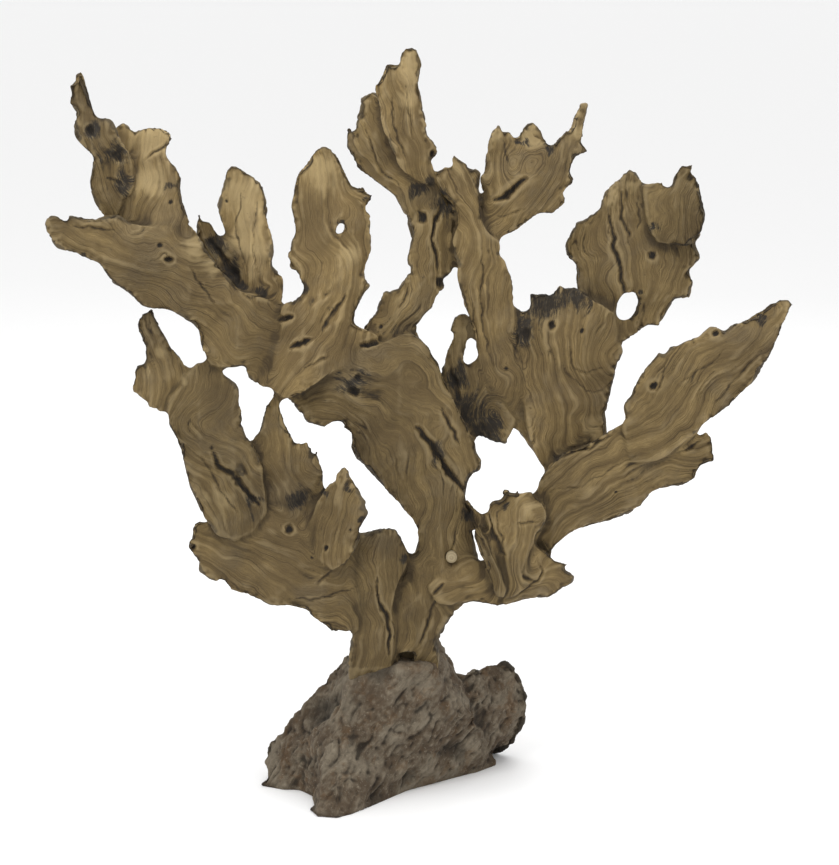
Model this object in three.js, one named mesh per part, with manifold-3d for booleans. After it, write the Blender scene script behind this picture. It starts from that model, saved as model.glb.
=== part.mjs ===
// A sculpture of weathered root-wood slabs, forked like staghorn coral, standing on a gnarled burl.
// Millimetres, +Z up, front towards -Y. The origin is on the burl's flat underside.
import * as THREE from "three";
import { ConvexGeometry } from "three/addons/geometries/ConvexGeometry.js";
import { mergeVertices } from "three/addons/utils/BufferGeometryUtils.js";
import Module from "manifold-3d";

const wasm = await Module();
wasm.setup();

// Driving dimensions.
const EYE = new THREE.Vector3(22.8, -2641, 994); // every outline is drawn as it looks from here
const CELL = 54; // size of the facets on a slab's broad faces
const FIT = 0.45; // how far a piece stays clear of the one that it is cut to fit
const EDGE_BAND = 32; // a slab thins from its middle to its edge over this width
const REACH = 260; // half the depth of the prism that cuts out an outline
const PLUG = { radius: 6.5, length: 26, x: 61, z: 293, face: -41 };
const BOLT_HOLE = { radius: 9, depth: 24, x: 8, z: 168, face: -42 };

// Shades of the wood, from pale worn tips to the grey burl.
const TONES = {
  pale: 0x9c8658,
  tan: 0x84704b,
  brown: 0x6c5b3f,
  grey: 0x6f614b,
  dark: 0x4b4032,
  burl: 0x574d42,
};

// ---- Solids ----

// The closed geometry as a solid, with only its shared positions kept.
function solidFrom(geometry) {
  const bare = geometry.clone();
  bare.deleteAttribute("normal");
  bare.deleteAttribute("uv");
  const merged = mergeVertices(bare, 1e-4);
  return new wasm.Manifold(
    new wasm.Mesh({
      numProp: 3,
      vertProperties: new Float32Array(merged.attributes.position.array),
      triVerts: new Uint32Array(merged.index.array),
    }),
  );
}

function geometryFrom(solid) {
  const made = solid.getMesh();
  const geometry = new THREE.BufferGeometry();
  geometry.setAttribute("position", new THREE.BufferAttribute(new Float32Array(made.vertProperties), 3));
  geometry.setIndex(new THREE.BufferAttribute(new Uint32Array(made.triVerts), 1));
  geometry.computeVertexNormals();
  return geometry;
}

// Moves each vertex of a geometry to the point that place(x, y, z) gives for it.
function warp(geometry, place) {
  const position = geometry.attributes.position;
  for (let i = 0; i < position.count; i += 1) {
    const to = place(position.getX(i), position.getY(i), position.getZ(i));
    position.setXYZ(i, to.x, to.y, to.z);
  }
  return geometry;
}

// ---- Slabs ----

// A point of an outline drawn on the plane Y = plane, carried along its line of sight to depth y.
function sighted(x, z, plane, y) {
  const share = (y - EYE.y) / (plane - EYE.y);
  return new THREE.Vector3(EYE.x + (x - EYE.x) * share, y, EYE.z + (z - EYE.z) * share);
}

// Depth of a slab's middle surface: its tilt is a slope per millimetre and its bend a curvature.
function depthAt(slab, x, z) {
  const dx = x - slab.at[0];
  const dz = z - slab.at[1];
  const [tiltX, tiltZ] = slab.tilt;
  const [bendX, bendZ, twist] = slab.bend;
  return slab.y + tiltX * dx + tiltZ * dz + bendX * dx * dx + bendZ * dz * dz + twist * dx * dz;
}

function distanceToOutline(outline, point) {
  const closest = new THREE.Vector3();
  const at = new THREE.Vector3(point.x, point.y, 0);
  let least = Infinity;
  outline.forEach((corner, i) => {
    const next = outline[(i + 1) % outline.length];
    const side = new THREE.Line3(new THREE.Vector3(corner.x, corner.y), new THREE.Vector3(next.x, next.y));
    side.closestPointToPoint(at, true, closest);
    least = Math.min(least, closest.distanceTo(at));
  });
  return least;
}

function isInside(outline, point) {
  let inside = false;
  outline.forEach((corner, i) => {
    const next = outline[(i + 1) % outline.length];
    const crosses = corner.y > point.y !== next.y > point.y;
    const meets = corner.x + ((point.y - corner.y) * (next.x - corner.x)) / (next.y - corner.y);
    if (crosses && point.x < meets) inside = !inside;
  });
  return inside;
}

// Full thickness at a point: thick in the middle, thin along the rim, and thicker towards the root.
function thicknessAt(slab, outline, x, z) {
  const point = new THREE.Vector2(x, z);
  const inward = isInside(outline, point) ? distanceToOutline(outline, point) / EDGE_BAND : 0;
  const rise = THREE.MathUtils.smoothstep(inward, 0, 1);
  const [taperX, taperZ] = slab.taper;
  const root = 1 + taperX * (x - slab.at[0]) + taperZ * (z - slab.at[1]);
  return (slab.edge + (slab.thick - slab.edge) * rise) * THREE.MathUtils.clamp(root, 0.45, 1.6);
}

// Points given as pairs, as a counter-clockwise loop.
function loop(pairs) {
  const points = pairs.map(([x, z]) => new THREE.Vector2(x, z));
  return THREE.ShapeUtils.isClockWise(points) ? points.reverse() : points;
}

function grownLoop(outline, by) {
  return outline.map((corner, i) => {
    const before = corner.clone().sub(outline.at(i - 1)).normalize();
    const after = outline[(i + 1) % outline.length].clone().sub(corner).normalize();
    const along = before.add(after).normalize();
    const mitre = by / Math.max(along.dot(after), 0.35);
    return new THREE.Vector2(corner.x + along.y * mitre, corner.y - along.x * mitre);
  });
}

// The slab's solid: a bent sheet of varying thickness, cut out by the prism of its outline.
// A slab grown by the fit is the cutter that makes room for it in its neighbours.
function slabSolid(slab, grow = 0) {
  const drawn = loop(slab.outline);
  const outline = grow > 0 ? grownLoop(drawn, grow) : drawn;
  const box = new THREE.Box2().setFromPoints(drawn).expandByScalar(3);
  const size = box.getSize(new THREE.Vector2());
  const centre = box.getCenter(new THREE.Vector2());
  const across = Math.ceil(size.x / CELL);
  const up = Math.ceil(size.y / CELL);
  const sheet = warp(new THREE.BoxGeometry(size.x, 2, size.y, across, 1, up), (px, side, pz) => {
    const x = px + centre.x;
    const z = pz + centre.y;
    const half = thicknessAt(slab, drawn, x, z) / 2 + grow;
    return sighted(x, z, slab.plane, depthAt(slab, x, z) + side * half);
  });
  const shape = new THREE.Shape(outline);
  if (grow === 0) shape.holes.push(...slab.holes.map((hole) => new THREE.Path(loop(hole))));
  const cutter = new THREE.ExtrudeGeometry(shape, { depth: 2 * REACH, bevelEnabled: false });
  warp(cutter, (x, z, along) => sighted(x, z, slab.plane, REACH - along));
  return solidFrom(sheet).intersect(solidFrom(cutter));
}

const SLAB_DEFAULTS = { tilt: [0, 0], bend: [0, 0, 0], taper: [0, 0], holes: [], tone: "brown" };

// Slabs in the order that they are fitted: each is cut to fit the burl and the slabs before it.
// at is a point near the root in the outline's own plane, y its depth, and x, z the outline's axes.
const SLABS = {
  trunk: {
    limb: "trunk_limb",
    plane: -10,
    at: [30, 330],
    y: -10,
    tilt: [-0.06, 0.02],
    bend: [0, 0, 0.0003],
    thick: 50,
    edge: 20,
    taper: [0, -0.0011],
    tone: "brown",
    outline: [
      [0, 550], [9, 553], [20, 551], [33, 540], [38, 533], [38, 527], [44, 521], [66, 470], [86, 435],
      [90, 425], [89, 412], [94, 402], [92, 393], [85, 388], [80, 378], [78, 358], [82, 345],
      [93, 285], [84, 262], [76, 232], [42, 184], [46, 160], [44, 120], [-22, 120], [-24, 210],
      [-16, 245], [0, 268], [12, 280], [17, 291], [20, 307], [19, 320], [14, 332], [0, 351],
      [-44, 398], [-51, 402], [-58, 417], [-57, 434], [-66, 440], [-63, 447], [-77, 447], [-86, 442],
      [-106, 448], [-141, 491], [-128, 503], [-100, 510], [-45, 535], [-20, 540],
    ],
  },
  foot_slab: {
    limb: "trunk_limb",
    plane: -10,
    at: [-30, 220],
    y: -33,
    tilt: [0.1, 0.03],
    bend: [0.001, 0, 0],
    thick: 42,
    edge: 18,
    taper: [0, -0.0008],
    outline: [
      [-58, 125], [-59, 160], [-55, 184], [-50, 198], [-58, 225], [-60, 250], [-56, 280], [-46, 310],
      [-31, 316], [-16, 319], [-5, 317], [3, 310], [8, 300], [11, 288], [11, 276], [-4, 245],
      [-9, 225], [-9, 125],
    ],
  },
  lower_left_arm: {
    limb: "lower_left_limb",
    plane: -30,
    at: [-50, 260],
    y: -38,
    tilt: [0.2, 0.1],
    bend: [0.0004, 0.0004, 0],
    thick: 36,
    edge: 14,
    taper: [0.0014, 0],
    tone: "grey",
    outline: [
      [-46, 316], [-40, 298], [-48, 245], [-44, 222], [-48, 202], [-80, 200], [-112, 226], [-133, 231],
      [-143, 230], [-181, 247], [-197, 252], [-208, 264], [-214, 261], [-221, 264], [-232, 275],
      [-233, 286], [-246, 301], [-247, 308], [-242, 315], [-243, 326], [-239, 333], [-233, 335],
      [-222, 334], [-205, 342], [-150, 356], [-120, 360], [-90, 354], [-62, 338],
    ],
  },
  lower_inner_fin: {
    limb: "lower_left_limb",
    plane: -30,
    at: [-80, 320],
    y: -56,
    tilt: [-0.22, 0.12],
    bend: [0.001, 0, 0],
    thick: 26,
    edge: 11,
    tone: "grey",
    outline: [
      [-63, 397], [-68, 394], [-72, 388], [-70, 382], [-82, 375], [-97, 352], [-104, 330], [-103, 308],
      [-95, 290], [-78, 275], [-62, 283], [-50, 298], [-44, 312], [-45, 324], [-36, 343], [-38, 347],
      [-43, 350], [-40, 355], [-48, 370], [-60, 385], [-60, 393],
    ],
  },
  lower_middle_fin: {
    limb: "lower_left_limb",
    plane: -30,
    at: [-130, 360],
    y: -38,
    tilt: [0.05, 0.16],
    bend: [0.0012, 0, 0],
    thick: 26,
    edge: 11,
    taper: [0, -0.002],
    outline: [
      [-144, 486], [-140, 480], [-127, 443], [-121, 435], [-119, 427], [-106, 428], [-101, 420],
      [-104, 412], [-99, 411], [-95, 416], [-88, 395], [-88, 378], [-85, 364], [-92, 345], [-112, 330],
      [-140, 332], [-162, 345], [-168, 372], [-173, 424], [-160, 445], [-153, 472],
    ],
  },
  lower_outer_fin: {
    limb: "lower_left_limb",
    plane: -30,
    at: [-200, 340],
    y: -66,
    tilt: [0.16, 0.14],
    bend: [0.0012, 0.0003, 0],
    thick: 28,
    edge: 12,
    taper: [0, -0.0012],
    holes: [[[-187, 395], [-183, 398], [-179, 394], [-181, 389], [-185, 390]]],
    outline: [
      [-238, 512], [-231, 521], [-218, 519], [-195, 504], [-188, 495], [-184, 480], [-180, 445],
      [-176, 433], [-171, 428], [-163, 412], [-156, 368], [-156, 345], [-170, 322], [-192, 312],
      [-214, 322], [-229, 342], [-244, 380], [-257, 430], [-266, 447], [-266, 460], [-262, 480],
      [-248, 494], [-244, 504],
    ],
  },
  left_prong: {
    limb: "lower_left_limb",
    plane: -30,
    at: [-262, 480],
    y: -35,
    tilt: [0.12, 0.1],
    bend: [0, 0.0006, 0],
    thick: 24,
    edge: 11,
    outline: [
      [-281, 585], [-268, 552], [-252, 527], [-243, 515], [-228, 506], [-228, 482], [-248, 468],
      [-267, 464], [-277, 466], [-287, 471], [-300, 485], [-306, 486], [-307, 494], [-304, 502],
      [-305, 512], [-300, 520], [-294, 520], [-291, 517], [-291, 540], [-299, 560], [-298, 570],
      [-293, 578],
    ],
  },
  tall_fin: {
    limb: "upper_left_limb",
    plane: -10,
    at: [-100, 540],
    y: -20,
    tilt: [0.12, 0.1],
    bend: [0.0012, 0.0002, 0.0006],
    thick: 36,
    edge: 13,
    taper: [0, -0.0017],
    tone: "tan",
    holes: [
      [[-74, 668], [-70, 665], [-64, 669], [-61, 677], [-63, 681], [-71, 676]],
      [[-86, 565], [-81, 566], [-76, 575], [-74, 583], [-78, 580], [-83, 571]],
    ],
    outline: [
      [-85, 766], [-77, 764], [-71, 758], [-51, 721], [-44, 721], [-40, 724], [-36, 714], [-29, 712],
      [-31, 705], [-39, 694], [-33, 688], [-35, 670], [-32, 660], [-32, 648], [-41, 619], [-35, 607],
      [-50, 575], [-50, 564], [-24, 549], [-24, 530], [-90, 500], [-112, 480], [-132, 472],
      [-153, 489], [-134, 565], [-134, 583], [-116, 592], [-112, 598], [-110, 606], [-117, 622],
      [-123, 628], [-126, 637], [-122, 660], [-118, 670], [-122, 698], [-119, 725], [-116, 735],
      [-100, 755], [-93, 763],
    ],
  },
  upper_left_arm: {
    limb: "upper_left_limb",
    plane: -30,
    at: [-150, 540],
    y: -20,
    tilt: [0.2, 0.12],
    bend: [-0.0002, 0.0003, 0],
    thick: 38,
    edge: 13,
    taper: [0.0016, 0],
    tone: "tan",
    outline: [
      [-397, 685], [-392, 689], [-384, 688], [-376, 684], [-372, 690], [-334, 686], [-318, 690],
      [-300, 680], [-270, 677], [-236, 677], [-229, 671], [-222, 655], [-195, 620], [-180, 604],
      [-145, 592], [-136, 583], [-134, 560], [-148, 493], [-156, 491], [-172, 504], [-177, 517],
      [-205, 516], [-217, 519], [-227, 540], [-229, 548], [-228, 556], [-233, 566], [-250, 577],
      [-262, 582], [-285, 584], [-293, 587], [-305, 600], [-325, 613], [-341, 636], [-385, 655],
      [-398, 673],
    ],
  },
  small_fin: {
    limb: "upper_left_limb",
    plane: -30,
    at: [-165, 610],
    y: -2,
    tilt: [-0.18, 0.16],
    bend: [0.002, 0, 0],
    thick: 28,
    edge: 11,
    tone: "pale",
    outline: [
      [-188, 747], [-181, 746], [-163, 734], [-155, 727], [-151, 720], [-148, 680], [-144, 664],
      [-146, 634], [-141, 628], [-134, 625], [-130, 619], [-131, 606], [-136, 586], [-150, 578],
      [-172, 582], [-188, 600], [-196, 620], [-200, 640], [-196, 668], [-203, 697], [-194, 742],
    ],
  },
  fin_splinter: {
    limb: "upper_left_limb",
    plane: -30,
    at: [-200, 620],
    y: 4,
    tilt: [-0.1, 0.12],
    thick: 22,
    edge: 12,
    tone: "dark",
    outline: [
      [-226, 690], [-222, 684], [-213, 683], [-208, 674], [-186, 648], [-176, 622], [-164, 600],
      [-172, 584], [-194, 594], [-212, 618], [-232, 664], [-228, 672], [-229, 681],
    ],
  },
  antler_plate: {
    limb: "upper_left_limb",
    plane: -30,
    at: [-280, 670],
    y: -20,
    tilt: [-0.22, 0.22],
    bend: [0.001, 0, 0],
    thick: 28,
    edge: 11,
    tone: "tan",
    outline: [
      [-236, 683], [-243, 705], [-245, 720], [-244, 732], [-260, 758], [-261, 764], [-255, 776],
      [-255, 782], [-259, 787], [-268, 790], [-283, 790], [-297, 785], [-308, 794], [-317, 790],
      [-321, 785], [-316, 730], [-326, 690], [-318, 672], [-300, 662], [-270, 660], [-240, 668],
    ],
  },
  antler: {
    limb: "upper_left_limb",
    plane: -30,
    at: [-330, 700],
    y: -20,
    tilt: [0.28, -0.08],
    bend: [0, 0.0006, 0],
    thick: 24,
    edge: 12,
    tone: "brown",
    outline: [
      [-355, 853], [-350, 847], [-344, 818], [-339, 804], [-333, 799], [-328, 801], [-322, 795],
      [-313, 772], [-304, 761], [-301, 748], [-301, 730], [-305, 718], [-313, 712], [-322, 684],
      [-332, 688], [-342, 705], [-347, 718], [-349, 729], [-344, 756], [-360, 781], [-363, 793],
      [-360, 805], [-368, 816], [-366, 826], [-368, 836], [-361, 842], [-361, 849],
    ],
  },
  neck: {
    limb: "middle_limb",
    plane: 10,
    at: [10, 600],
    y: 14,
    tilt: [-0.06, 0.03],
    bend: [0.002, 0, 0],
    thick: 44,
    edge: 18,
    tone: "tan",
    outline: [
      [0, 702], [10, 684], [14, 672], [15, 660], [11, 640], [11, 630], [16, 628], [15, 620], [0, 600],
      [-8, 597], [-17, 597], [-28, 571], [-36, 566], [-41, 555], [-41, 545], [-22, 532], [0, 524],
      [22, 530], [22, 558], [31, 572], [38, 577], [44, 593], [53, 601], [51, 611], [58, 616],
      [66, 629], [74, 650], [76, 680], [66, 708], [45, 718], [20, 716],
    ],
  },
  long_blade: {
    limb: "middle_limb",
    plane: 10,
    at: [80, 650],
    y: -2,
    tilt: [0.05, -0.07],
    bend: [0.0008, 0, 0],
    thick: 36,
    edge: 14,
    tone: "tan",
    outline: [
      [63, 755], [77, 745], [83, 737], [88, 739], [93, 734], [92, 722], [96, 685], [100, 667],
      [106, 661], [112, 659], [116, 653], [117, 648], [114, 642], [121, 634], [124, 624], [131, 614],
      [134, 584], [134, 545], [138, 520], [154, 460], [172, 405], [173, 388], [108, 479], [90, 521],
      [87, 546], [70, 605], [70, 629], [64, 640], [63, 655], [66, 680], [64, 700], [50, 712],
      [40, 736], [48, 736], [53, 741], [59, 739], [62, 744], [61, 751],
    ],
  },
  top_fin: {
    limb: "middle_limb",
    plane: 10,
    at: [20, 730],
    y: 2,
    tilt: [0.12, 0.12],
    bend: [0.003, 0, 0],
    thick: 30,
    edge: 11,
    taper: [0, -0.002],
    tone: "pale",
    outline: [
      [15, 878], [21, 874], [27, 858], [23, 834], [29, 798], [30, 778], [44, 764], [46, 759],
      [43, 752], [37, 751], [42, 726], [32, 719], [18, 724], [6, 735], [-1, 747], [-21, 800],
      [-27, 833], [-14, 859], [-9, 860], [0, 857], [0, 865], [3, 871], [8, 876],
    ],
  },
  top_fin_wing: {
    limb: "middle_limb",
    plane: 10,
    at: [20, 700],
    y: 12,
    tilt: [-0.18, 0.1],
    bend: [0.001, 0, 0],
    thick: 28,
    edge: 11,
    tone: "tan",
    outline: [
      [-26, 824], [-30, 826], [-43, 818], [-43, 798], [-46, 801], [-50, 775], [-57, 785], [-60, 778],
      [-60, 766], [-46, 737], [-5, 707], [10, 686], [22, 680], [36, 686], [48, 702], [46, 724],
      [16, 760], [-12, 806],
    ],
  },
  top_right_fin: {
    limb: "middle_limb",
    plane: 10,
    at: [110, 680],
    y: 10,
    tilt: [0.1, 0.18],
    bend: [0.001, 0, 0],
    thick: 28,
    edge: 10,
    taper: [-0.002, -0.001],
    tone: "tan",
    outline: [
      [94, 664], [97, 706], [95, 730], [103, 768], [107, 780], [113, 789], [117, 783], [127, 781],
      [136, 772], [139, 782], [145, 790], [152, 794], [156, 791], [174, 764], [182, 775], [196, 787],
      [198, 797], [208, 813], [214, 813], [208, 768], [214, 762], [215, 757], [202, 752], [198, 744],
      [197, 736], [201, 728], [200, 722], [189, 715], [190, 699], [177, 688], [165, 688], [155, 684],
      [138, 668], [112, 656], [100, 655],
    ],
  },
  wide_slab: {
    limb: "right_limb",
    plane: 10,
    at: [190, 500],
    y: 18,
    tilt: [0.12, 0.02],
    bend: [0.0008, 0, 0],
    thick: 32,
    edge: 14,
    tone: "tan",
    outline: [
      [132, 545], [138, 579], [146, 573], [150, 583], [150, 596], [170, 596], [175, 592], [186, 604],
      [192, 600], [203, 601], [250, 573], [253, 552], [252, 540], [258, 528], [254, 517], [248, 480],
      [240, 452], [243, 426], [235, 416], [215, 404], [170, 384], [160, 405], [134, 515],
    ],
  },
  right_fan: {
    limb: "right_limb",
    plane: 0,
    at: [230, 590],
    y: 42,
    tilt: [-0.2, 0.1],
    bend: [0.0012, 0, 0],
    thick: 28,
    edge: 10,
    tone: "brown",
    holes: [[[251, 575], [253, 585], [259, 596], [270, 597], [275, 590], [272, 576], [266, 568], [256, 565]]],
    outline: [
      [192, 640], [191, 654], [204, 678], [215, 682], [225, 690], [231, 697], [238, 713], [250, 724],
      [252, 719], [258, 732], [263, 738], [268, 736], [279, 721], [290, 720], [305, 714], [330, 690],
      [346, 665], [340, 653], [345, 638], [333, 623], [339, 610], [335, 592], [317, 592], [300, 559],
      [288, 559], [268, 545], [244, 536], [232, 548], [225, 570], [208, 588], [203, 602], [203, 628],
    ],
  },
  fan_flake: {
    limb: "right_limb",
    plane: 0,
    at: [315, 690],
    y: 22,
    tilt: [-0.2, 0.08],
    bend: [0.0015, 0, 0],
    thick: 20,
    edge: 9,
    tone: "brown",
    outline: [
      [281, 720], [301, 726], [304, 719], [310, 721], [313, 731], [322, 744], [335, 745], [335, 738],
      [332, 733], [335, 729], [339, 733], [344, 722], [352, 690], [349, 670], [340, 652], [325, 650],
      [297, 655], [289, 668], [284, 690],
    ],
  },
  right_arm: {
    limb: "right_limb",
    plane: 0,
    at: [200, 370],
    y: -8,
    tilt: [-0.1, 0.02],
    bend: [0.0002, 0.0004, 0],
    thick: 38,
    edge: 14,
    taper: [-0.0012, 0],
    tone: "grey",
    outline: [
      [136, 300], [160, 289], [178, 286], [184, 295], [200, 310], [212, 316], [250, 327], [272, 338],
      [283, 346], [298, 362], [306, 366], [331, 369], [342, 373], [348, 378], [350, 386], [354, 392],
      [360, 396], [369, 397], [370, 403], [364, 428], [359, 433], [325, 428], [305, 432], [268, 447],
      [235, 428], [195, 410], [183, 402], [163, 378], [156, 359], [146, 345], [136, 325],
    ],
  },
  right_blade: {
    limb: "right_limb",
    plane: 0,
    at: [290, 430],
    y: -27,
    tilt: [-0.16, 0.06],
    bend: [-0.0003, 0.0006, 0],
    thick: 28,
    edge: 11,
    tone: "grey",
    outline: [
      [451, 590], [455, 584], [434, 532], [401, 481], [391, 470], [343, 433], [316, 409], [300, 400],
      [283, 395], [271, 401], [262, 440], [268, 450], [263, 460], [262, 468], [270, 477], [274, 490],
      [280, 500], [301, 527], [306, 524], [315, 533], [348, 545], [360, 557], [368, 557], [375, 553],
      [385, 561], [400, 566], [440, 590],
    ],
  },
  right_peg: {
    limb: "lower_right_limb",
    plane: -10,
    at: [80, 255],
    y: -34,
    tilt: [0.02, 0.1],
    bend: [0, 0.004, 0],
    thick: 36,
    edge: 18,
    tone: "tan",
    outline: [
      [38, 242], [35, 250], [43, 259], [73, 283], [85, 285], [110, 276], [140, 250], [148, 238],
      [127, 228], [116, 225], [86, 232], [60, 228], [47, 233],
    ],
  },
  knot_upper: {
    limb: "lower_right_limb",
    plane: -10,
    at: [135, 300],
    y: -34,
    tilt: [0.1, 0.02],
    bend: [0.003, 0, 0],
    thick: 50,
    edge: 24,
    tone: "tan",
    outline: [
      [104, 350], [108, 355], [118, 356], [123, 370], [128, 366], [155, 365], [166, 354], [171, 342],
      [172, 330], [160, 305], [151, 292], [149, 278], [151, 262], [146, 248], [136, 238], [126, 234],
      [122, 244], [124, 258], [105, 318], [102, 334],
    ],
  },
  knot_lower: {
    limb: "lower_right_limb",
    plane: -10,
    at: [170, 265],
    y: -28,
    tilt: [0.1, 0],
    bend: [0.002, 0, 0],
    thick: 42,
    edge: 18,
    tone: "grey",
    outline: [
      [126, 238], [175, 235], [185, 240], [190, 246], [203, 254], [205, 261], [192, 270], [197, 276],
      [184, 282], [175, 292], [156, 300], [148, 298], [140, 285], [136, 262],
    ],
  },
  splinter_front: {
    limb: "lower_right_limb",
    plane: -10,
    at: [105, 280],
    y: -52,
    tilt: [0.05, 0.05],
    thick: 18,
    edge: 10,
    tone: "dark",
    outline: [
      [88, 321], [95, 323], [114, 280], [127, 246], [123, 236], [113, 240], [101, 273], [94, 284],
      [87, 310],
    ],
  },
  splinter_rear: {
    limb: "lower_right_limb",
    plane: -10,
    at: [105, 310],
    y: -34,
    tilt: [0.1, 0.05],
    thick: 20,
    edge: 11,
    tone: "brown",
    outline: [
      [78, 354], [103, 334], [109, 324], [125, 285], [124, 270], [110, 268], [100, 290], [96, 312],
    ],
  },
  inner_fork: {
    limb: "middle_limb",
    plane: 10,
    at: [75, 480],
    y: 15,
    tilt: [-0.1, 0.06],
    bend: [0, 0.0008, 0],
    thick: 34,
    edge: 16,
    tone: "dark",
    outline: [
      [70, 572], [75, 573], [80, 570], [84, 563], [83, 550], [75, 514], [80, 512], [90, 519],
      [104, 500], [101, 483], [105, 475], [114, 474], [136, 446], [124, 420], [93, 426], [80, 424],
      [62, 432], [48, 456], [42, 486], [50, 505], [55, 528], [63, 549], [58, 551], [60, 558],
      [65, 568],
    ],
  },
};

// ---- The burl ----

// Corner points of the burl's lumps. Each lump is the hull of its points, and they grow together.
const BURL_LUMPS = {
  body: [
    [-62, 10, 157], [-42, -34, 157], [0, -42, 158], [32, -34, 156], [46, -10, 158], [52, 40, 150],
    [-30, 62, 140], [-60, 45, 145], [-95, -45, 70], [-25, -62, 90], [50, -28, 95], [92, 8, 80],
    [-120, -20, 0], [-98, -50, 0], [-40, -60, 0], [30, 0, 0], [96, 42, 0], [116, 80, 0], [100, 118, 0],
    [0, 108, 0], [-90, 85, 0], [-148, 42, 0],
  ],
  leftRidge: [
    [-62, 8, 157], [-112, 14, 100], [-157, 20, 44], [-165, 10, 16], [-166, -8, 0], [-140, -21, 0],
    [-118, -20, 0], [-102, -18, 50], [-58, -24, 140], [-150, 46, 0], [-132, 52, 40], [-68, 42, 146],
  ],
  frontToe: [
    [-103, -88, 0], [-95, -109, 0], [-72, -112, 0], [-56, -101, 0], [-38, -73, 0], [0, -32, 0],
    [28, -2, 0], [-100, -84, 14], [-92, -98, 24], [-72, -98, 34], [-30, -62, 48], [18, -24, 52],
    [-95, -40, 66], [-70, -28, 112], [0, 20, 0], [-90, 0, 0],
  ],
  rightLip: [
    [28, -2, 0], [60, 25, 0], [95, 40, 0], [119, 64, 0], [119, 60, 30], [108, 44, 34], [62, 18, 38],
    [20, -16, 46], [50, 60, 40], [40, 60, 0], [104, 96, 0],
  ],
  rightLobe: [
    [90, 46, 126], [106, 66, 128], [130, 78, 128], [139, 78, 120], [148, 76, 105], [154, 76, 86],
    [155, 78, 64], [149, 84, 42], [138, 94, 20], [120, 104, 2], [118, 108, 0], [96, 120, 0],
    [84, 108, 104], [112, 104, 110], [96, 28, 96], [116, 42, 70], [112, 52, 30], [60, 80, 60],
    [72, 44, 118],
  ],
  crest: [
    [42, 16, 182], [34, 8, 172], [50, 12, 164], [58, 20, 150], [62, 44, 132], [22, 42, 164],
    [0, 52, 140], [34, 0, 120], [70, 48, 108], [10, 20, 120],
  ],
};

function burlSolid() {
  return Object.values(BURL_LUMPS)
    .map((corners) => solidFrom(new ConvexGeometry(corners.map((corner) => new THREE.Vector3(...corner)))))
    .reduce((grown, lump) => grown.add(lump));
}

// ---- The plug and the bolt hole ----

// A round solid along Y from its face backwards.
function dowelSolid({ radius, x, z, face }, length) {
  const dowel = new THREE.CylinderGeometry(radius, radius, length, 16);
  dowel.translate(x, face + length / 2, z);
  return solidFrom(dowel);
}

// ---- Assembly ----

const sculpture = new THREE.Group();
const limbs = new Map();

// Each limb is a group that stands where its first piece has its root.
function limbFor(name, root) {
  if (!limbs.has(name)) {
    const limb = new THREE.Group();
    limb.name = name;
    limb.position.copy(root);
    sculpture.add(limb);
    limbs.set(name, limb);
  }
  return limbs.get(name);
}

// Adds a solid given in the sculpture's own frame as a mesh that stands at its root.
function addPiece(name, solid, tone, limbName, root) {
  const limb = limbFor(limbName, root);
  const geometry = geometryFrom(solid).translate(-root.x, -root.y, -root.z);
  const material = new THREE.MeshStandardMaterial({ color: TONES[tone], roughness: 0.82, metalness: 0 });
  const mesh = new THREE.Mesh(geometry, material);
  mesh.name = name;
  mesh.position.copy(root).sub(limb.position);
  limb.add(mesh);
}

// What is left of a solid once its neighbours are cut away: its largest body.
function largestBody(solid) {
  return solid.decompose().reduce((most, body) => (body.volume() > most.volume() ? body : most));
}

const burl = burlSolid();
const fitted = [burl.translate([0, 0, FIT])];
addPiece("burl_base", burl, "burl", "burl", new THREE.Vector3(0, 0, 0));

const boreCutters = {
  trunk: [
    dowelSolid({ ...PLUG, radius: PLUG.radius + FIT }, PLUG.length + FIT),
    dowelSolid(BOLT_HOLE, BOLT_HOLE.depth),
  ],
};

for (const [name, given] of Object.entries(SLABS)) {
  const slab = { ...SLAB_DEFAULTS, ...given };
  const whole = slabSolid(slab);
  const cut = [...fitted, ...(boreCutters[name] ?? [])].reduce((left, other) => left.subtract(other), whole);
  const root = sighted(slab.at[0], slab.at[1], slab.plane, slab.y);
  addPiece(name, largestBody(cut), slab.tone, slab.limb, root);
  fitted.push(slabSolid(slab, FIT));
}

const plugRoot = new THREE.Vector3(PLUG.x, PLUG.face, PLUG.z);
addPiece("dowel_plug", dowelSolid(PLUG, PLUG.length), "pale", "trunk_limb", plugRoot);

export default sculpture;
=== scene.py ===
import math
import bpy
import bmesh
import numpy as np
from mathutils import Matrix, Vector
from mathutils.bvhtree import BVHTree


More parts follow.
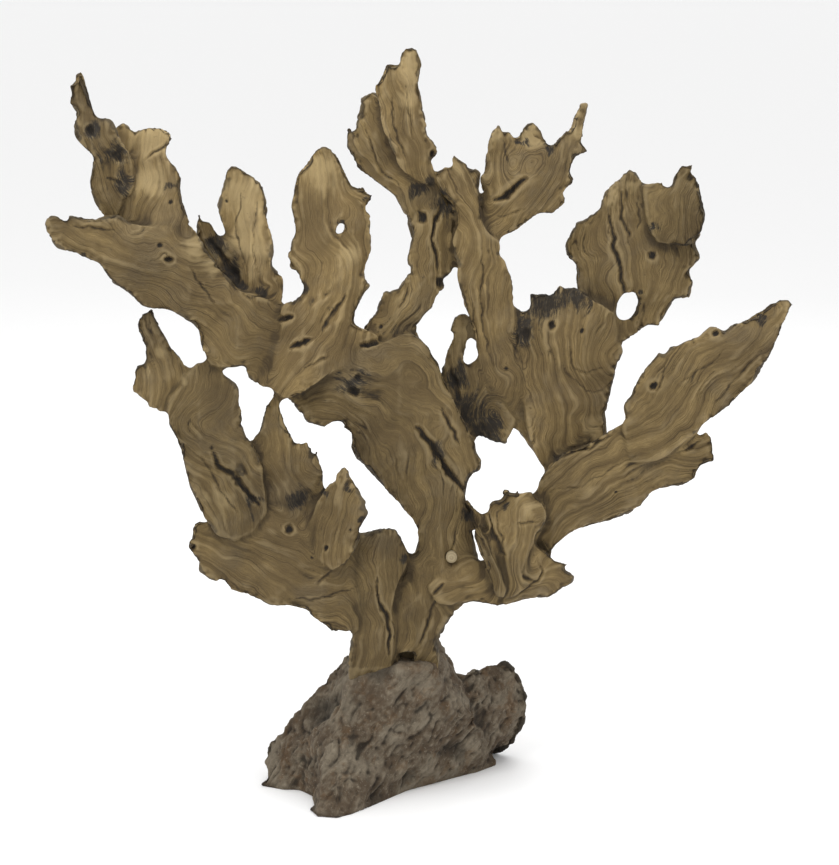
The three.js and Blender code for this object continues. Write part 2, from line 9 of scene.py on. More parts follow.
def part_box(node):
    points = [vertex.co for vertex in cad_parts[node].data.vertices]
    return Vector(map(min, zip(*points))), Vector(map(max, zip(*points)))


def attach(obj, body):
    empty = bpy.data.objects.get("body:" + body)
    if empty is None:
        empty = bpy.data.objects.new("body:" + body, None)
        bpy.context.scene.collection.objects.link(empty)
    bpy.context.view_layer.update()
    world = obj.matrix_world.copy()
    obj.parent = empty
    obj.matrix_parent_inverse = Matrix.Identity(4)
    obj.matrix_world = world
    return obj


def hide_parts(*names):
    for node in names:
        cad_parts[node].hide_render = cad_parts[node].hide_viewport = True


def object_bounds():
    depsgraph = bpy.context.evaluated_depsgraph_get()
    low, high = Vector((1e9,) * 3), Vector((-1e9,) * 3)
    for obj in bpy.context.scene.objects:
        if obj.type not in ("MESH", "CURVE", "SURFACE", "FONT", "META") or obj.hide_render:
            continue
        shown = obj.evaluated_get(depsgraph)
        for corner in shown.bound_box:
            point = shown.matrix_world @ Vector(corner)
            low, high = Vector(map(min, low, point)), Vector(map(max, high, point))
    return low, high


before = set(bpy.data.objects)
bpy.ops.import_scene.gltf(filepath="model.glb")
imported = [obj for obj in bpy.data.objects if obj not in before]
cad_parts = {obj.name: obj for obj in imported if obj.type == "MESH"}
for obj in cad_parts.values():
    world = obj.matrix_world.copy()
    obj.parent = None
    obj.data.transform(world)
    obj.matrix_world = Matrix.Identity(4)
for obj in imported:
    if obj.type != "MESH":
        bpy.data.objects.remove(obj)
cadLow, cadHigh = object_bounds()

# The studio and the plug are in metres. The woods are carved in millimetres.

print("frame loaded:", len(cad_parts), "nodes")

studio = {
    "elevation": 12,  # degrees above the horizon
    "distance": 2.7,
    "lens": 96.3,
    "aimShift": (-0.0042, 0, -0.0059),  # from the middle of the whole sculpture
    "lamps": {  # place, size and power
        "keyLight": ((-1.2, -1.9, 2.6), 1.2, 23),
        "topLight": ((0.2, -0.3, 2.9), 1.5, 25),
        "fillLight": ((2.2, -1.6, 1.2), 1.8, 3),
        "backLight": ((0.4, 2.4, 2.2), 1.6, 12),
    },
    "skyStrength": 1.0,
    "floorColour": (0.9, 0.9, 0.9),
    "floorRoughness": 0.9,
    "floorReach": 40,
}


def newMaterial(name):
    material = bpy.data.materials.new(name)
    material.use_nodes = True
    return material, material.node_tree, material.node_tree.nodes["Principled BSDF"]


def newPiece(name, shape):  # an object from a bmesh, which is used up
    mesh = bpy.data.meshes.new(name)
    shape.to_mesh(mesh)
    shape.free()
    piece = bpy.data.objects.new(name, mesh)
    bpy.context.scene.collection.objects.link(piece)
    return piece


def aimAt(thing, target):
    thing.rotation_euler = (target - thing.location).to_track_quat("-Z", "Y").to_euler()


def areaLight(name, place, target, size, power):
    lamp = bpy.data.lights.new(name, "AREA")
    lamp.size = size
    lamp.energy = power
    holder = bpy.data.objects.new(name, lamp)
    holder.location = place
    bpy.context.scene.collection.objects.link(holder)
    aimAt(holder, target)


def setUpStudio():
    scene = bpy.context.scene
    middle = (Vector(cadLow) + Vector(cadHigh)) / 2
    middle.y = 0
    target = middle + Vector(studio["aimShift"])
    tilt = math.radians(studio["elevation"])
    lens = bpy.data.cameras.new("studioCamera")
    lens.lens = studio["lens"]
    camera = bpy.data.objects.new("studioCamera", lens)
    camera.location = target + Vector((0, -math.cos(tilt), math.sin(tilt))) * studio["distance"]
    scene.collection.objects.link(camera)
    aimAt(camera, target)
    scene.camera = camera

    world = bpy.data.worlds.new("studioSky")
    world.use_nodes = True
    sky = world.node_tree.nodes["Background"]
    sky.inputs["Color"].default_value = (1, 1, 1, 1)
    sky.inputs["Strength"].default_value = studio["skyStrength"]
    scene.world = world
    scene.view_settings.view_transform = "Standard"

    for name, (place, size, power) in studio["lamps"].items():
        areaLight(name, Vector(place), target, size, power)

    sheet = bmesh.new()
    bmesh.ops.create_grid(sheet, x_segments=1, y_segments=1, size=studio["floorReach"])
    floor = newPiece("paleFloor", sheet)
    paint, _, finish = newMaterial("paleFloorPaint")
    finish.inputs["Base Color"].default_value = (*studio["floorColour"], 1)
    finish.inputs["Roughness"].default_value = studio["floorRoughness"]
    floor.data.materials.append(paint)


setUpStudio()
print("studio ready")


# small helpers for mixing woods

def paintValue(red, green, blue):  # a screen colour of 0 to 255 as a linear one
    return tuple(((c / 255 + 0.055) / 1.055) ** 2.4 for c in (red, green, blue)) + (1,)


def paintsOf(look):  # the colours of a look by name
    return {name: paintValue(*value) for name, value in look.items() if isinstance(value, tuple)}


def feed(tree, socket, value):
    if isinstance(value, bpy.types.NodeSocket):
        tree.links.new(value, socket)
    else:
        socket.default_value = value


def calc(tree, operation, a, b=0.0):
    node = tree.nodes.new("ShaderNodeMath")
    node.operation = operation
    feed(tree, node.inputs[0], a)
    feed(tree, node.inputs[1], b)
    return node.outputs[0]


def remap(tree, value, low, high, toLow=0.0, toHigh=1.0):
    node = tree.nodes.new("ShaderNodeMapRange")
    node.interpolation_type = "SMOOTHSTEP"
    for label, given in (("Value", value), ("From Min", low), ("From Max", high),
                         ("To Min", toLow), ("To Max", toHigh)):
        feed(tree, node.inputs[label], given)
    return node.outputs["Result"]


def blendPaint(tree, factor, below, above, mode="MIX"):
    node = tree.nodes.new("ShaderNodeMix")
    node.data_type = "RGBA"
    node.blend_type = mode
    feed(tree, node.inputs["Factor"], factor)
    feed(tree, node.inputs[6], below)  # the colour sockets share their names with the number ones
    feed(tree, node.inputs[7], above)
    return node.outputs[2]


def wash(tree, mask, strength, below, above):  # a colour over another where a mask shows
    return blendPaint(tree, calc(tree, "MULTIPLY", mask, strength), below, above)


def addBump(tree, finish, height, distance, strength=1.0):
    bump = tree.nodes.new("ShaderNodeBump")
    bump.inputs["Strength"].default_value = strength
    bump.inputs["Distance"].default_value = distance
    feed(tree, bump.inputs["Height"], height)
    feed(tree, finish.inputs["Normal"], bump.outputs["Normal"])


def noiseValue(tree, place, scale, detail=2.0, roughness=0.5, dimensions="3D"):
    node = tree.nodes.new("ShaderNodeTexNoise")
    node.noise_dimensions = dimensions
    feed(tree, node.inputs["W" if dimensions == "1D" else "Vector"], place)
    feed(tree, node.inputs["Scale"], scale)
    feed(tree, node.inputs["Detail"], detail)
    feed(tree, node.inputs["Roughness"], roughness)
    return node.outputs[0]


def bodyPlace(tree):
    return tree.nodes.new("ShaderNodeTexCoord").outputs["Object"]


def carved(tree, name):  # a value that the carving left on the mesh
    node = tree.nodes.new("ShaderNodeAttribute")
    node.attribute_name = name
    return node.outputs["Fac"]


def newGroup(name, takes, gives):
    group = bpy.data.node_groups.new(name, "ShaderNodeTree")
    for label, kind in takes:
        group.interface.new_socket(name=label, in_out="INPUT", socket_type="NodeSocket" + kind)
    for label, kind in gives:
        group.interface.new_socket(name=label, in_out="OUTPUT", socket_type="NodeSocket" + kind)
    given = group.nodes.new("NodeGroupInput").outputs
    return group, given, group.nodes.new("NodeGroupOutput").inputs


def placeGroup(tree, group, **values):
    node = tree.nodes.new("ShaderNodeGroup")
    node.node_tree = group
    for label, value in values.items():
        feed(tree, node.inputs[label], value)
    return node.outputs


def makeGrainGroup():  # growth lines and fibres that follow the carved grain
    tree, given, out = newGroup(
        "grainLines",
        [("Grain", "Float"), ("Along", "Float"), ("Place", "Vector")],
        [("Bands", "Float"), ("Lines", "Float"), ("Fibre", "Float")],
    )
    drift = noiseValue(tree, given["Place"], 120, 3, 0.6)
    grain = calc(tree, "ADD", given["Grain"], calc(tree, "MULTIPLY", drift, 2.6))
    feed(tree, out["Bands"], noiseValue(tree, grain, 0.11, 2, 0.6, "1D"))
    late = remap(tree, noiseValue(tree, grain, 0.42, 2, 0.6, "1D"), 0.45, 0.27)
    hair = remap(tree, noiseValue(tree, grain, 1.3, 1, 0.5, "1D"), 0.5, 0.28)
    shown = remap(tree, noiseValue(tree, given["Place"], 17, 2, 0.5), 0.38, 0.62, 0.3, 1)
    lines = calc(tree, "MAXIMUM", late, calc(tree, "MULTIPLY", hair, 0.6))
    feed(tree, out["Lines"], calc(tree, "MULTIPLY", lines, shown))
    thread = tree.nodes.new("ShaderNodeCombineXYZ")
    feed(tree, thread.inputs["X"], calc(tree, "MULTIPLY", grain, 1.5))
    feed(tree, thread.inputs["Y"], calc(tree, "MULTIPLY", given["Along"], 0.09))
    feed(tree, out["Fibre"], noiseValue(tree, thread.outputs[0], 1.0, 4, 0.65))
    return tree


weather = {  # how strongly each mark covers the wood; the hollow mark is painted shade
    "pale": 0.52, "ridge": 0.3, "hollow": 0.6, "speck": 0.3, "rim": 0.6, "burnt": 0.93,
    "burntWander": 0.7,  # how far noise moves the borders of the charring and of the pale tips
    "paleWander": 0.8,
}


def makeWeatherGroup():  # worn heights, painted shade in hollows, dark rims, charring and pale tips over any wood
    tree, given, out = newGroup(
        "weathering",
        [("Wood", "Color"), ("Worn", "Color"), ("Dirt", "Color"), ("Char", "Color"),
         ("Place", "Vector"), ("Edge", "Float"), ("Burnt", "Float"), ("Pale", "Float"),
         ("Relief", "Float"), ("RimWidth", "Float")],
        [("Color", "Color"), ("Roughness", "Float")],
    )
    cloud = noiseValue(tree, given["Place"], 30, 4, 0.6)
    grit = noiseValue(tree, given["Place"], 230, 4, 0.65)
    ridge = remap(tree, given["Relief"], 0.1, 0.9)
    # painted shade: hollows in the relief are darkened, as if shade fell there
    hollow = remap(tree, given["Relief"], -0.12, -1.1)
    reach = calc(tree, "MULTIPLY", given["RimWidth"], remap(tree, cloud, 0.42, 0.62, 0.05, 1.8))
    rim = remap(tree, given["Edge"], reach, calc(tree, "MULTIPLY", reach, 0.3))
    speck = remap(tree, grit, 0.58, 0.75)

    def wandered(value, noise, amount):
        return calc(tree, "ADD", value, calc(tree, "MULTIPLY", calc(tree, "SUBTRACT", noise, 0.5), amount))

    burnt = remap(tree, wandered(given["Burnt"], grit, weather["burntWander"]), 0.16, 0.72)
    pale = remap(tree, wandered(given["Pale"], cloud, weather["paleWander"]), 0.15, 0.95)
    colour = given["Wood"]
    # the hollow wash is painted shade; the speck wash is real dirt
    for name, mask, paint in (("pale", pale, "Worn"), ("ridge", ridge, "Worn"), ("hollow", hollow, "Dirt"),
                              ("speck", speck, "Dirt"), ("rim", rim, "Char"), ("burnt", burnt, "Char")):
        colour = wash(tree, mask, weather[name], colour, given[paint])
    feed(tree, out["Color"], colour)
    feed(tree, out["Roughness"], remap(tree, calc(tree, "ADD", ridge, grit), 0.2, 1.4, 0.85, 0.6))
    return tree


grainGroup = makeGrainGroup()
weatherGroup = makeWeatherGroup()


def slabMaterial(name, look):
    material, tree, finish = newMaterial(name)
    paint = paintsOf(look)
    place = bodyPlace(tree)
    grain = placeGroup(
        tree, grainGroup, Grain=carved(tree, "grain"), Along=carved(tree, "along"), Place=place)
    bands = remap(tree, grain["Bands"], 0.32, 0.68)
    colour = blendPaint(tree, bands, paint["mid"], paint["light"])
    stain = remap(tree, noiseValue(tree, place, 11, 4, 0.6), 0.4, 0.64)
    colour = wash(tree, stain, look["stains"], colour, paint["stain"])
    ash = remap(tree, noiseValue(tree, place, 15, 5, 0.65), 0.5, 0.66)
    colour = wash(tree, ash, look["ash"], colour, paint["grey"])
    fibre = remap(tree, grain["Fibre"], 0.34, 0.66)
    colour = wash(tree, fibre, look["fibre"], colour, paint["brown"])
    colour = wash(tree, grain["Lines"], look["lines"], colour, paint["line"])
    streaks = remap(tree, grain["Fibre"], 0.3, 0.7, 0.4, 1.5)
    charred = calc(tree, "MULTIPLY", carved(tree, "burnt"), streaks)
    skin = placeGroup(
        tree, weatherGroup, Wood=colour, Worn=paint["worn"], Dirt=paint["dirtAndShade"], Char=paint["char"],
        Place=place, Edge=carved(tree, "edge"), Burnt=charred, Pale=carved(tree, "pale"),
        Relief=carved(tree, "relief"), RimWidth=look["rimWidth"])
    # the tone multiplies the colour: each slab's own lightness, with painted shade in the hollows and along
    # the seams between slabs
    shade = tree.nodes.new("ShaderNodeCombineColor")
    for channel in ("Red", "Green", "Blue"):
        feed(tree, shade.inputs[channel], carved(tree, "tone"))
    toned = blendPaint(tree, 1.0, skin["Color"], shade.outputs[0], "MULTIPLY")
    feed(tree, finish.inputs["Base Color"], toned)
    feed(tree, finish.inputs["Roughness"], skin["Roughness"])
    finish.inputs["Specular IOR Level"].default_value = look["gloss"]
    height = calc(tree, "SUBTRACT", grain["Fibre"], calc(tree, "MULTIPLY", grain["Lines"], 0.6))
    grit = noiseValue(tree, place, 600, 4, 0.65)
    height = calc(tree, "ADD", height, calc(tree, "MULTIPLY", grit, 0.5))
    addBump(tree, finish, height, look["bumpHeight"])
    return material


slabLook = {
    "light": (147, 125, 82), "mid": (114, 95, 60), "brown": (86, 69, 41), "line": (54, 41, 24),
    # the dirt colour serves real dirt specks and painted shade in the hollows
    "stain": (92, 76, 49), "grey": (114, 105, 88), "worn": (174, 153, 110), "dirtAndShade": (46, 36, 24),
    "char": (35, 31, 27),
    "fibre": 0.5, "lines": 0.68, "stains": 0.65, "ash": 0.24,  # how strongly each shows
    "rimWidth": 2.6,
    "gloss": 0.3,
    "bumpHeight": 0.0008,  # in metres
}
slabWood = slabMaterial("slabWood", slabLook)
print("slab wood mixed")


# carving: noise, distances and fields on arrays of points, all in millimetres

def dropCrumbs(mesh):  # keeps only the largest connected part
    shell = bmesh.new()
    shell.from_mesh(mesh)
    left = set(shell.verts)
    parts = []
    while left:
        part = [left.pop()]
        for point in part:
            for edge in point.link_edges:
                other = edge.other_vert(point)
                if other in left:
                    left.remove(other)
                    part.append(other)
        parts.append(part)
    parts.sort(key=len)
    crumbs = [point for part in parts[:-1] for point in part]
    bmesh.ops.delete(shell, geom=crumbs, context="VERTS")
    shell.to_mesh(mesh)
    shell.free()


def smoothNoise(points, size, seed=0):  # gradient noise, about -1 to 1
    place = points / size + np.array((seed * 7.13, seed * 3.71 + 0.5, seed * 5.37 + 0.25))
    cell = np.floor(place).astype(np.int64)
    part = place - cell
    fade = part ** 3 * (part * (part * 6 - 15) + 10)
    total = np.zeros(len(points))
    for corner in range(8):
        step = np.array((corner & 1, corner >> 1 & 1, corner >> 2 & 1))
        near = cell + step
        key = (near[:, 0] * 73856093) ^ (near[:, 1] * 19349663) ^ (near[:, 2] * 83492791)
        key = ((key ^ (key >> 15)) * 2246822519) & 0xFFFFFFFF
        key = ((key ^ (key >> 13)) * 3266489917) & 0xFFFFFFFF
        slope = np.stack([key & 1023, key >> 10 & 1023, key >> 20 & 1023], axis=1) / 511.5 - 1
        weight = np.prod(np.where(step == 1, fade, 1 - fade), axis=1)
        total += weight * np.sum(slope * (part - step), axis=1)
    return total * 1.7


def raised(points, shape, seed):  # noise of one spacing and height
    spacing, height = shape
    return smoothNoise(points, spacing, seed) * height


def easeOut(distance, reach):  # 1 at no distance, falling smoothly to 0 at the reach
    left = np.clip(1 - distance / reach, 0, 1)
    return left * left * (3 - 2 * left)


def mergedCopy(node):  # a CAD node's shape in millimetres, its loose triangles joined
    copy = bmesh.new()
    copy.from_mesh(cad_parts[node].data)
    bmesh.ops.remove_doubles(copy, verts=copy.verts, dist=1e-6)
    bmesh.ops.scale(copy, vec=(1000, 1000, 1000), verts=copy.verts)
    copy.normal_update()
    return copy


nodeShapes = {node: mergedCopy(node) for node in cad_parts}
nodeTrees = {node: BVHTree.FromBMesh(shape) for node, shape in nodeShapes.items()}


def freeRim(node):  # the tree of a slab's narrow walls that stand clear of other pieces
    others = [tree for other, tree in nodeTrees.items() if other != node]
    rim = nodeShapes[node].copy()
    inner = []
    for face in rim.faces:
        middle = face.calc_center_median()
        covered = any(tree.find_nearest(middle, 13)[3] is not None for tree in others)
        if abs(face.normal.y) > 0.5 or covered:
            inner.append(face)
    bmesh.ops.delete(rim, geom=inner, context="FACES")
    tree = BVHTree.FromBMesh(rim)
    rim.free()
    return tree


def meanOfNeighbours(points, edges):
    count = np.maximum(np.bincount(edges.ravel(), minlength=len(points)), 1)
    sums = [np.bincount(edges[:, 0], points[edges[:, 1], axis], len(points))
            + np.bincount(edges[:, 1], points[edges[:, 0], axis], len(points)) for axis in range(3)]
    return np.stack(sums, axis=1) / count[:, None]


def melted(points, edges, amount, rounds=1):  # each point moves towards its neighbours by its amount
    for _ in range(rounds):
        points = points + (meanOfNeighbours(points, edges) - points) * amount
    return points


def relaxed(points, edges, rounds):  # smooths and keeps the size: each round pulls in, then lets out
    for _ in range(rounds):
        points = melted(melted(points, edges, 0.5), edges, -0.52)
    return points


def pulledIn(points, edges, rounds):  # plain smoothing, which sinks ridges and fills hollows
    for _ in range(rounds):
        points = points * 0.4 + meanOfNeighbours(points, edges) * 0.6
    return points


def pointsOf(mesh):
    flat = np.empty(len(mesh.vertices) * 3, np.float32)
    mesh.vertices.foreach_get("co", flat)
    return flat.reshape(-1, 3).astype(float)


def normalsOf(mesh, points):
    mesh.vertices.foreach_set("co", points.astype(np.float32).ravel())
    mesh.update()
    flat = np.empty(len(mesh.vertices) * 3, np.float32)
    mesh.vertex_normals.foreach_get("vector", flat)
    return flat.reshape(-1, 3).astype(float)


def edgesOf(mesh):
    flat = np.empty(len(mesh.edges) * 2, np.int32)
    mesh.edges.foreach_get("vertices", flat)
    return flat.reshape(-1, 2)


def remeshed(name, nodes, swell, voxel):  # one closed fine mesh of several nodes, grown until they meet
    whole = bmesh.new()
    for node in nodes:
        part = nodeShapes[node].copy()
        for corner in part.verts:
            corner.co += corner.normal * swell
        loose = bpy.data.meshes.new("loose")
        part.to_mesh(loose)
        whole.from_mesh(loose)
        bpy.data.meshes.remove(loose)
        part.free()
    body = newPiece(name, whole)
    coarse = body.data
    grid = body.modifiers.new("grid", "REMESH")
    grid.mode = "VOXEL"
    grid.voxel_size = voxel
    fine = bpy.data.meshes.new_from_object(body.evaluated_get(bpy.context.evaluated_depsgraph_get()))
    body.modifiers.clear()
    body.data = fine
    bpy.data.meshes.remove(coarse)
    fine.name = name
    dropCrumbs(fine)
    return body


def withoutNeedles(points, edges):  # draws back only the points that stand far off their neighbours
    for _ in range(4):
        away = meanOfNeighbours(points, edges) - points
        points = points + away * np.clip(np.linalg.norm(away, axis=1) / 0.5 - 0.9, 0, 1)[:, None]
    return points


def layOn(mesh, points, values):  # puts the carved points and what the woods read on a mesh
    for label, value in values.items():
        mesh.attributes.new(label, "FLOAT", "POINT").data.foreach_set("value", value.astype(np.float32))
    mesh.vertices.foreach_set("co", (points / 1000).astype(np.float32).ravel())
    mesh.polygons.foreach_set("use_smooth", np.ones(len(mesh.polygons), bool))
    mesh.update()


def onSlab(node, across, up):  # a place on a slab as X and Z
    low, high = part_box(node)
    return np.array((low[0] + (high[0] - low[0]) * across, low[2] + (high[2] - low[2]) * up)) * 1000


def curveThrough(stops, steps=12):  # a smooth curve through a few places
    stops = [stops[0] * 2 - stops[1]] + list(stops) + [stops[-1] * 2 - stops[-2]]
    curve = []
    for a, b, c, d in zip(stops, stops[1:], stops[2:], stops[3:]):
        for t in np.linspace(0, 1, steps, endpoint=False):
            square = (2 * a - 5 * b + 4 * c - d) * t ** 2
            curve.append((2 * b + (c - a) * t + square + (3 * b - a - 3 * c + d) * t ** 3) / 2)
    return np.array(curve + [stops[-2]])


def followCurve(curve, flat):  # distance across, distance along and plain distance from a curve
    near = np.argmin(((flat[:, None, :] - curve[None, :, :]) ** 2).sum(axis=2), axis=1)
    steps = np.gradient(curve, axis=0)
    steps /= np.linalg.norm(steps, axis=1)[:, None]
    run = np.concatenate([[0], np.cumsum(np.linalg.norm(np.diff(curve, axis=0), axis=1))])
    away = flat - curve[near]
    tangent = steps[near]
    along = run[near] + (away * tangent).sum(axis=1)
    across = away[:, 0] * tangent[:, 1] - away[:, 1] * tangent[:, 0]
    past = along - np.clip(along, 0, run[-1])
    return across, along, np.hypot(across, past)


def joinFlows(flows):  # several grain fields as one, each shifted and turned to meet those before it
    grain, along, weight = flows[0]
    for nextGrain, nextAlong, nextWeight in flows[1:]:
        both = weight * nextWeight
        total = max(both.sum(), 1e-9)
        fits = []
        for turn in (1, -1):
            shift = (both * (grain - turn * nextGrain)).sum() / total
            fits.append(((both * (grain - turn * nextGrain - shift) ** 2).sum(), turn, shift))
        _, turn, shift = min(fits)
        reach = (both * (along - nextAlong)).sum() / total
        share = nextWeight / np.maximum(weight + nextWeight, 1e-9)
        grain = grain * (1 - share) + (turn * nextGrain + shift) * share
        along = along * (1 - share) + (nextAlong + reach) * share
        weight = weight + nextWeight
    return grain, along


carving = {
    "voxel": 1.75,
    "swell": 2.6,  # the slabs are grown this far to fuse them, then drawn back
    "left": 0.6,  # what stays of the swelling
    "meltReach": 9,  # joints are melted together over this distance
    "meltRounds": 14,
    "folds": (60, 4.4),  # each is the spacing and the height of one kind of relief
    "swells": (27, 2.1),
    "flutes": (26, 2.1, 6),  # and how many times longer it is along the grain
    "ribs": (9, 0.9, 8),
    "threads": (4.4, 0.4, 12),
    "checks": (13, 2.2, 10),  # drying cracks
    "rimTear": (8, 3.8, 3),
    "rimChips": (6, 2.2),
    "rimRound": (6, 1.2),
    "sway": (120, 5),  # how far a slab bends towards the front and the back
    "gapReach": 30,  # distances are measured this far
    "flowNear": 28,  # a grain curve counts this far from its slab
    "flowFade": 16,  # and loses hold over this distance from itself
    "blend": 5,  # slabs share their grain and rims over this distance
    "stainBlend": 8,
    "toneBlend": 9,
    "feet": (  # how high, how far down and how far back the feet of the slabs sink
        ("foot_slab", 26, 0, 22),
        ("trunk", 40, 30, 0),
    ),
    "reliefRounds": 18,  # smoothing that the fine relief is measured against
    "cavityRounds": 60,  # and that the shaded hollows are
}


def gapsTo(node, tree, points, reach):  # distances to a node's tree, the reach where it is further
    low, high = (np.array(corner) * 1000 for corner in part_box(node))
    gaps = np.full(len(points), float(reach))
    inside = np.all((points > low - reach) & (points < high + reach), axis=1)
    for i, point in zip(np.flatnonzero(inside).tolist(), points[inside].tolist()):
        gap = tree.find_nearest(point, reach)[3]
        if gap is not None:
            gaps[i] = gap
    return gaps


def layFlows(looks, gaps, points):  # the grain of every slab, joined into one field
    flat = points[:, (0, 2)]
    flows = []
    knots = np.zeros(len(points))
    for node, look in looks.items():
        near = gaps[node] < carving["flowNear"]
        share = np.exp(-gaps[node] / carving["blend"])
        for stops in look["flow"]:
            curve = curveThrough([onSlab(node, *stop) for stop in stops])
            across, along, weight = (np.zeros(len(points)) for _ in range(3))
            across[near], along[near], away = followCurve(curve, flat[near])
            weight[near] = share[near] * np.exp(-away / carving["flowFade"]) + 1e-12
            flows.append((across, along, weight))
        for across, up, reach, lift in look.get("knots", ()):
            away = np.linalg.norm(flat - onSlab(node, across, up), axis=1)
            knots += lift * np.exp(-((away / reach) ** 2)) * share
    grain, along = joinFlows(flows)
    grain = grain + knots + points[:, 1] * 0.6
    grain += smoothNoise(points, 80, 1) * 13 + smoothNoise(points, 34, 2) * 6
    grain += smoothNoise(points, 13, 5) * 1.6
    return grain, along


def markSlabs(looks, gaps, points, front, grain, along):  # cracks, pits and stains
    flat = points[:, (0, 2)]
    wander = np.stack([smoothNoise(points, 24, 3), smoothNoise(points, 24, 4)], axis=1) * 4
    wander += np.stack([smoothNoise(points, 8, 14), smoothNoise(points, 8, 15)], axis=1) * 1.6
    ragged = 1 + smoothNoise(points, 5, 19) * 0.45
    streak = smoothNoise(np.stack([grain / 5, along / 45, points[:, 1] / 30], axis=1), 1, 20) * 0.7 + 1
    sunk, burnt, pale = (np.zeros(len(points)) for _ in range(3))
    for node, look in looks.items():
        here = (gaps[node] < 7) & (front > 0)
        share = np.exp(-gaps[node] / carving["stainBlend"])
        for stops, width, depth in look.get("cracks", ()):
            curve = curveThrough([onSlab(node, *stop) for stop in stops], 24)
            _, run, away = followCurve(curve, flat + wander)
            length = np.linalg.norm(np.diff(curve, axis=0), axis=1).sum()
            taper = np.clip(np.minimum(run, length - run) / (length * 0.3), 0.05, 1) ** 0.7
            reach = max(width, 3.4) * 0.66 * taper
            groove = easeOut(away * (0.65 + ragged * 0.35), reach) * front * here
            sunk = np.maximum(sunk, groove * depth)
            burnt = np.maximum(burnt, groove * min(0.2 + depth / 12, 0.85))
        for across, up, reach, depth in look.get("pits", ()):
            flatAway = np.linalg.norm(flat - onSlab(node, across, up), axis=1)
            middle = np.argmin(np.where(here, flatAway, np.inf))
            away = np.hypot(flatAway, (grain - grain[middle]) * 0.8) * (0.5 + ragged * 0.5)
            bowl = np.clip((1.05 - away / reach) * 1.5, 0, 1) * front * here
            sunk = np.maximum(sunk, bowl * depth)
            burnt = np.maximum(burnt, bowl * 0.9)
        for across, up, reach in look.get("char", ()):
            away = np.linalg.norm(flat + wander * 1.8 - onSlab(node, across, up), axis=1)
            burnt = np.maximum(burnt, easeOut(away * streak, reach * 1.7) * share)
        for across, up, reach in look.get("pale", ()):
            away = np.linalg.norm(flat + wander * 2 - onSlab(node, across, up), axis=1)
            pale = np.maximum(pale, easeOut(away * streak, reach * 1.8) * share)
    return sunk, burnt, pale


def carveWood(limbs, material):
    looks = {node: look for limb in limbs.values() for node, look in limb.items()}
    body = remeshed("wood", looks, carving["swell"], carving["voxel"])
    mesh = body.data
    edges = edgesOf(mesh)
    points = relaxed(pointsOf(mesh), edges, 5)
    points = points - normalsOf(mesh, points) * (carving["swell"] - carving["left"])
    print("slabs fused:", len(points), "points")

    reach = carving["gapReach"]
    gaps = {node: gapsTo(node, nodeTrees[node], points, reach) for node in looks}
    second = np.partition(np.stack(list(gaps.values())), 1, axis=0)[1]
    melt = np.clip(np.exp(-second / carving["meltReach"]) * 1.7, 0, 1)[:, None] * 0.6
    points = pulledIn(melted(points, edges, melt, carving["meltRounds"]), edges, 2)
    for node, height, drop, back in carving["feet"]:
        sink = (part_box(node)[0][2] * 1000 + height - points[:, 2]) / height
        sink = np.clip(sink, 0, 1) ** 1.3 * easeOut(gaps[node], 9)
        points[:, 2] -= sink * drop
        points[:, 1] += sink * back
    normals = normalsOf(mesh, points)
    front = np.clip(0.45 - normals[:, 1] * 1.4, 0, 1)
    print("joints melted")

    grain, along = layFlows(looks, gaps, points)
    sunk, burnt, pale = markSlabs(looks, gaps, points, front, grain, along)
    edge = np.min([gapsTo(node, freeRim(node), points, reach) for node in looks], axis=0)

    def alongGrain(kind, seed):  # noise that is long the way the grain runs
        spacing, _, stretch = carving[kind]
        place = [grain / spacing, along / (spacing * stretch), points[:, 1] / (spacing * 4)]
        return smoothNoise(np.stack(place, axis=1), 1, seed)

    lift = raised(points, carving["folds"], 6) + raised(points, carving["swells"], 7)
    for kind, seed in (("flutes", 8), ("ribs", 9), ("threads", 16)):
        lift += alongGrain(kind, seed) * carving[kind][1]
    check = np.clip(1 - np.abs(alongGrain("checks", 17)) * 12, 0, 1)
    check *= np.clip(smoothNoise(points, 48, 18) * 3 - 0.6, 0, 1) * np.clip(edge / 6 - 0.5, 0, 1)
    sunk = np.maximum(sunk, check * carving["checks"][1])
    burnt = np.maximum(burnt, check * 0.45)
    rim = np.exp(-((edge / carving["rimRound"][0]) ** 2))
    tear = np.maximum(alongGrain("rimTear", 10), -0.15) * carving["rimTear"][1]
    tear += np.maximum(raised(points, carving["rimChips"], 11), 0)
    shares = {node: np.exp(-gaps[node] / carving["blend"]) for node in looks}
    rag = sum(shares[node] * look.get("rag", 1) for node, look in looks.items())
    lift -= rim * (carving["rimRound"][1] + rag / sum(shares.values()) * tear)
    lift += burnt * smoothNoise(points, 7, 12) * 1.2 - sunk
    points = points + normals * lift[:, None]
    sway = np.stack([points[:, 0], points[:, 2], np.zeros(len(points))], axis=1)
    points[:, 1] += raised(sway, carving["sway"], 13)
    points = withoutNeedles(relaxed(points, edges, 1), edges)

    normals = normalsOf(mesh, points)
    relief = ((points - pulledIn(points, edges, carving["reliefRounds"])) * normals).sum(axis=1)
    shares = {node: np.exp(-gaps[node] / carving["toneBlend"]) for node in looks}
    tone = sum(shares[node] * look["tone"] for node, look in looks.items())
    tone /= sum(shares.values())
    # painted shade: the tone is darkened in the large hollows and along the seams where one slab meets
    # another, and made a little lighter on bulges
    cavity = ((points - relaxed(points, edges, carving["cavityRounds"])) * normals).sum(axis=1)
    tone *= 1 + np.clip(cavity / 5, -0.5, 0.08) - np.exp(-second / 3) * 0.34
    values = {"grain": grain, "along": along, "edge": edge, "pale": pale,
              "burnt": burnt, "relief": relief, "tone": tone}
    layOn(mesh, points, values)
    print("wood carved")
    splitWood(body, limbs, material, gaps, edges)


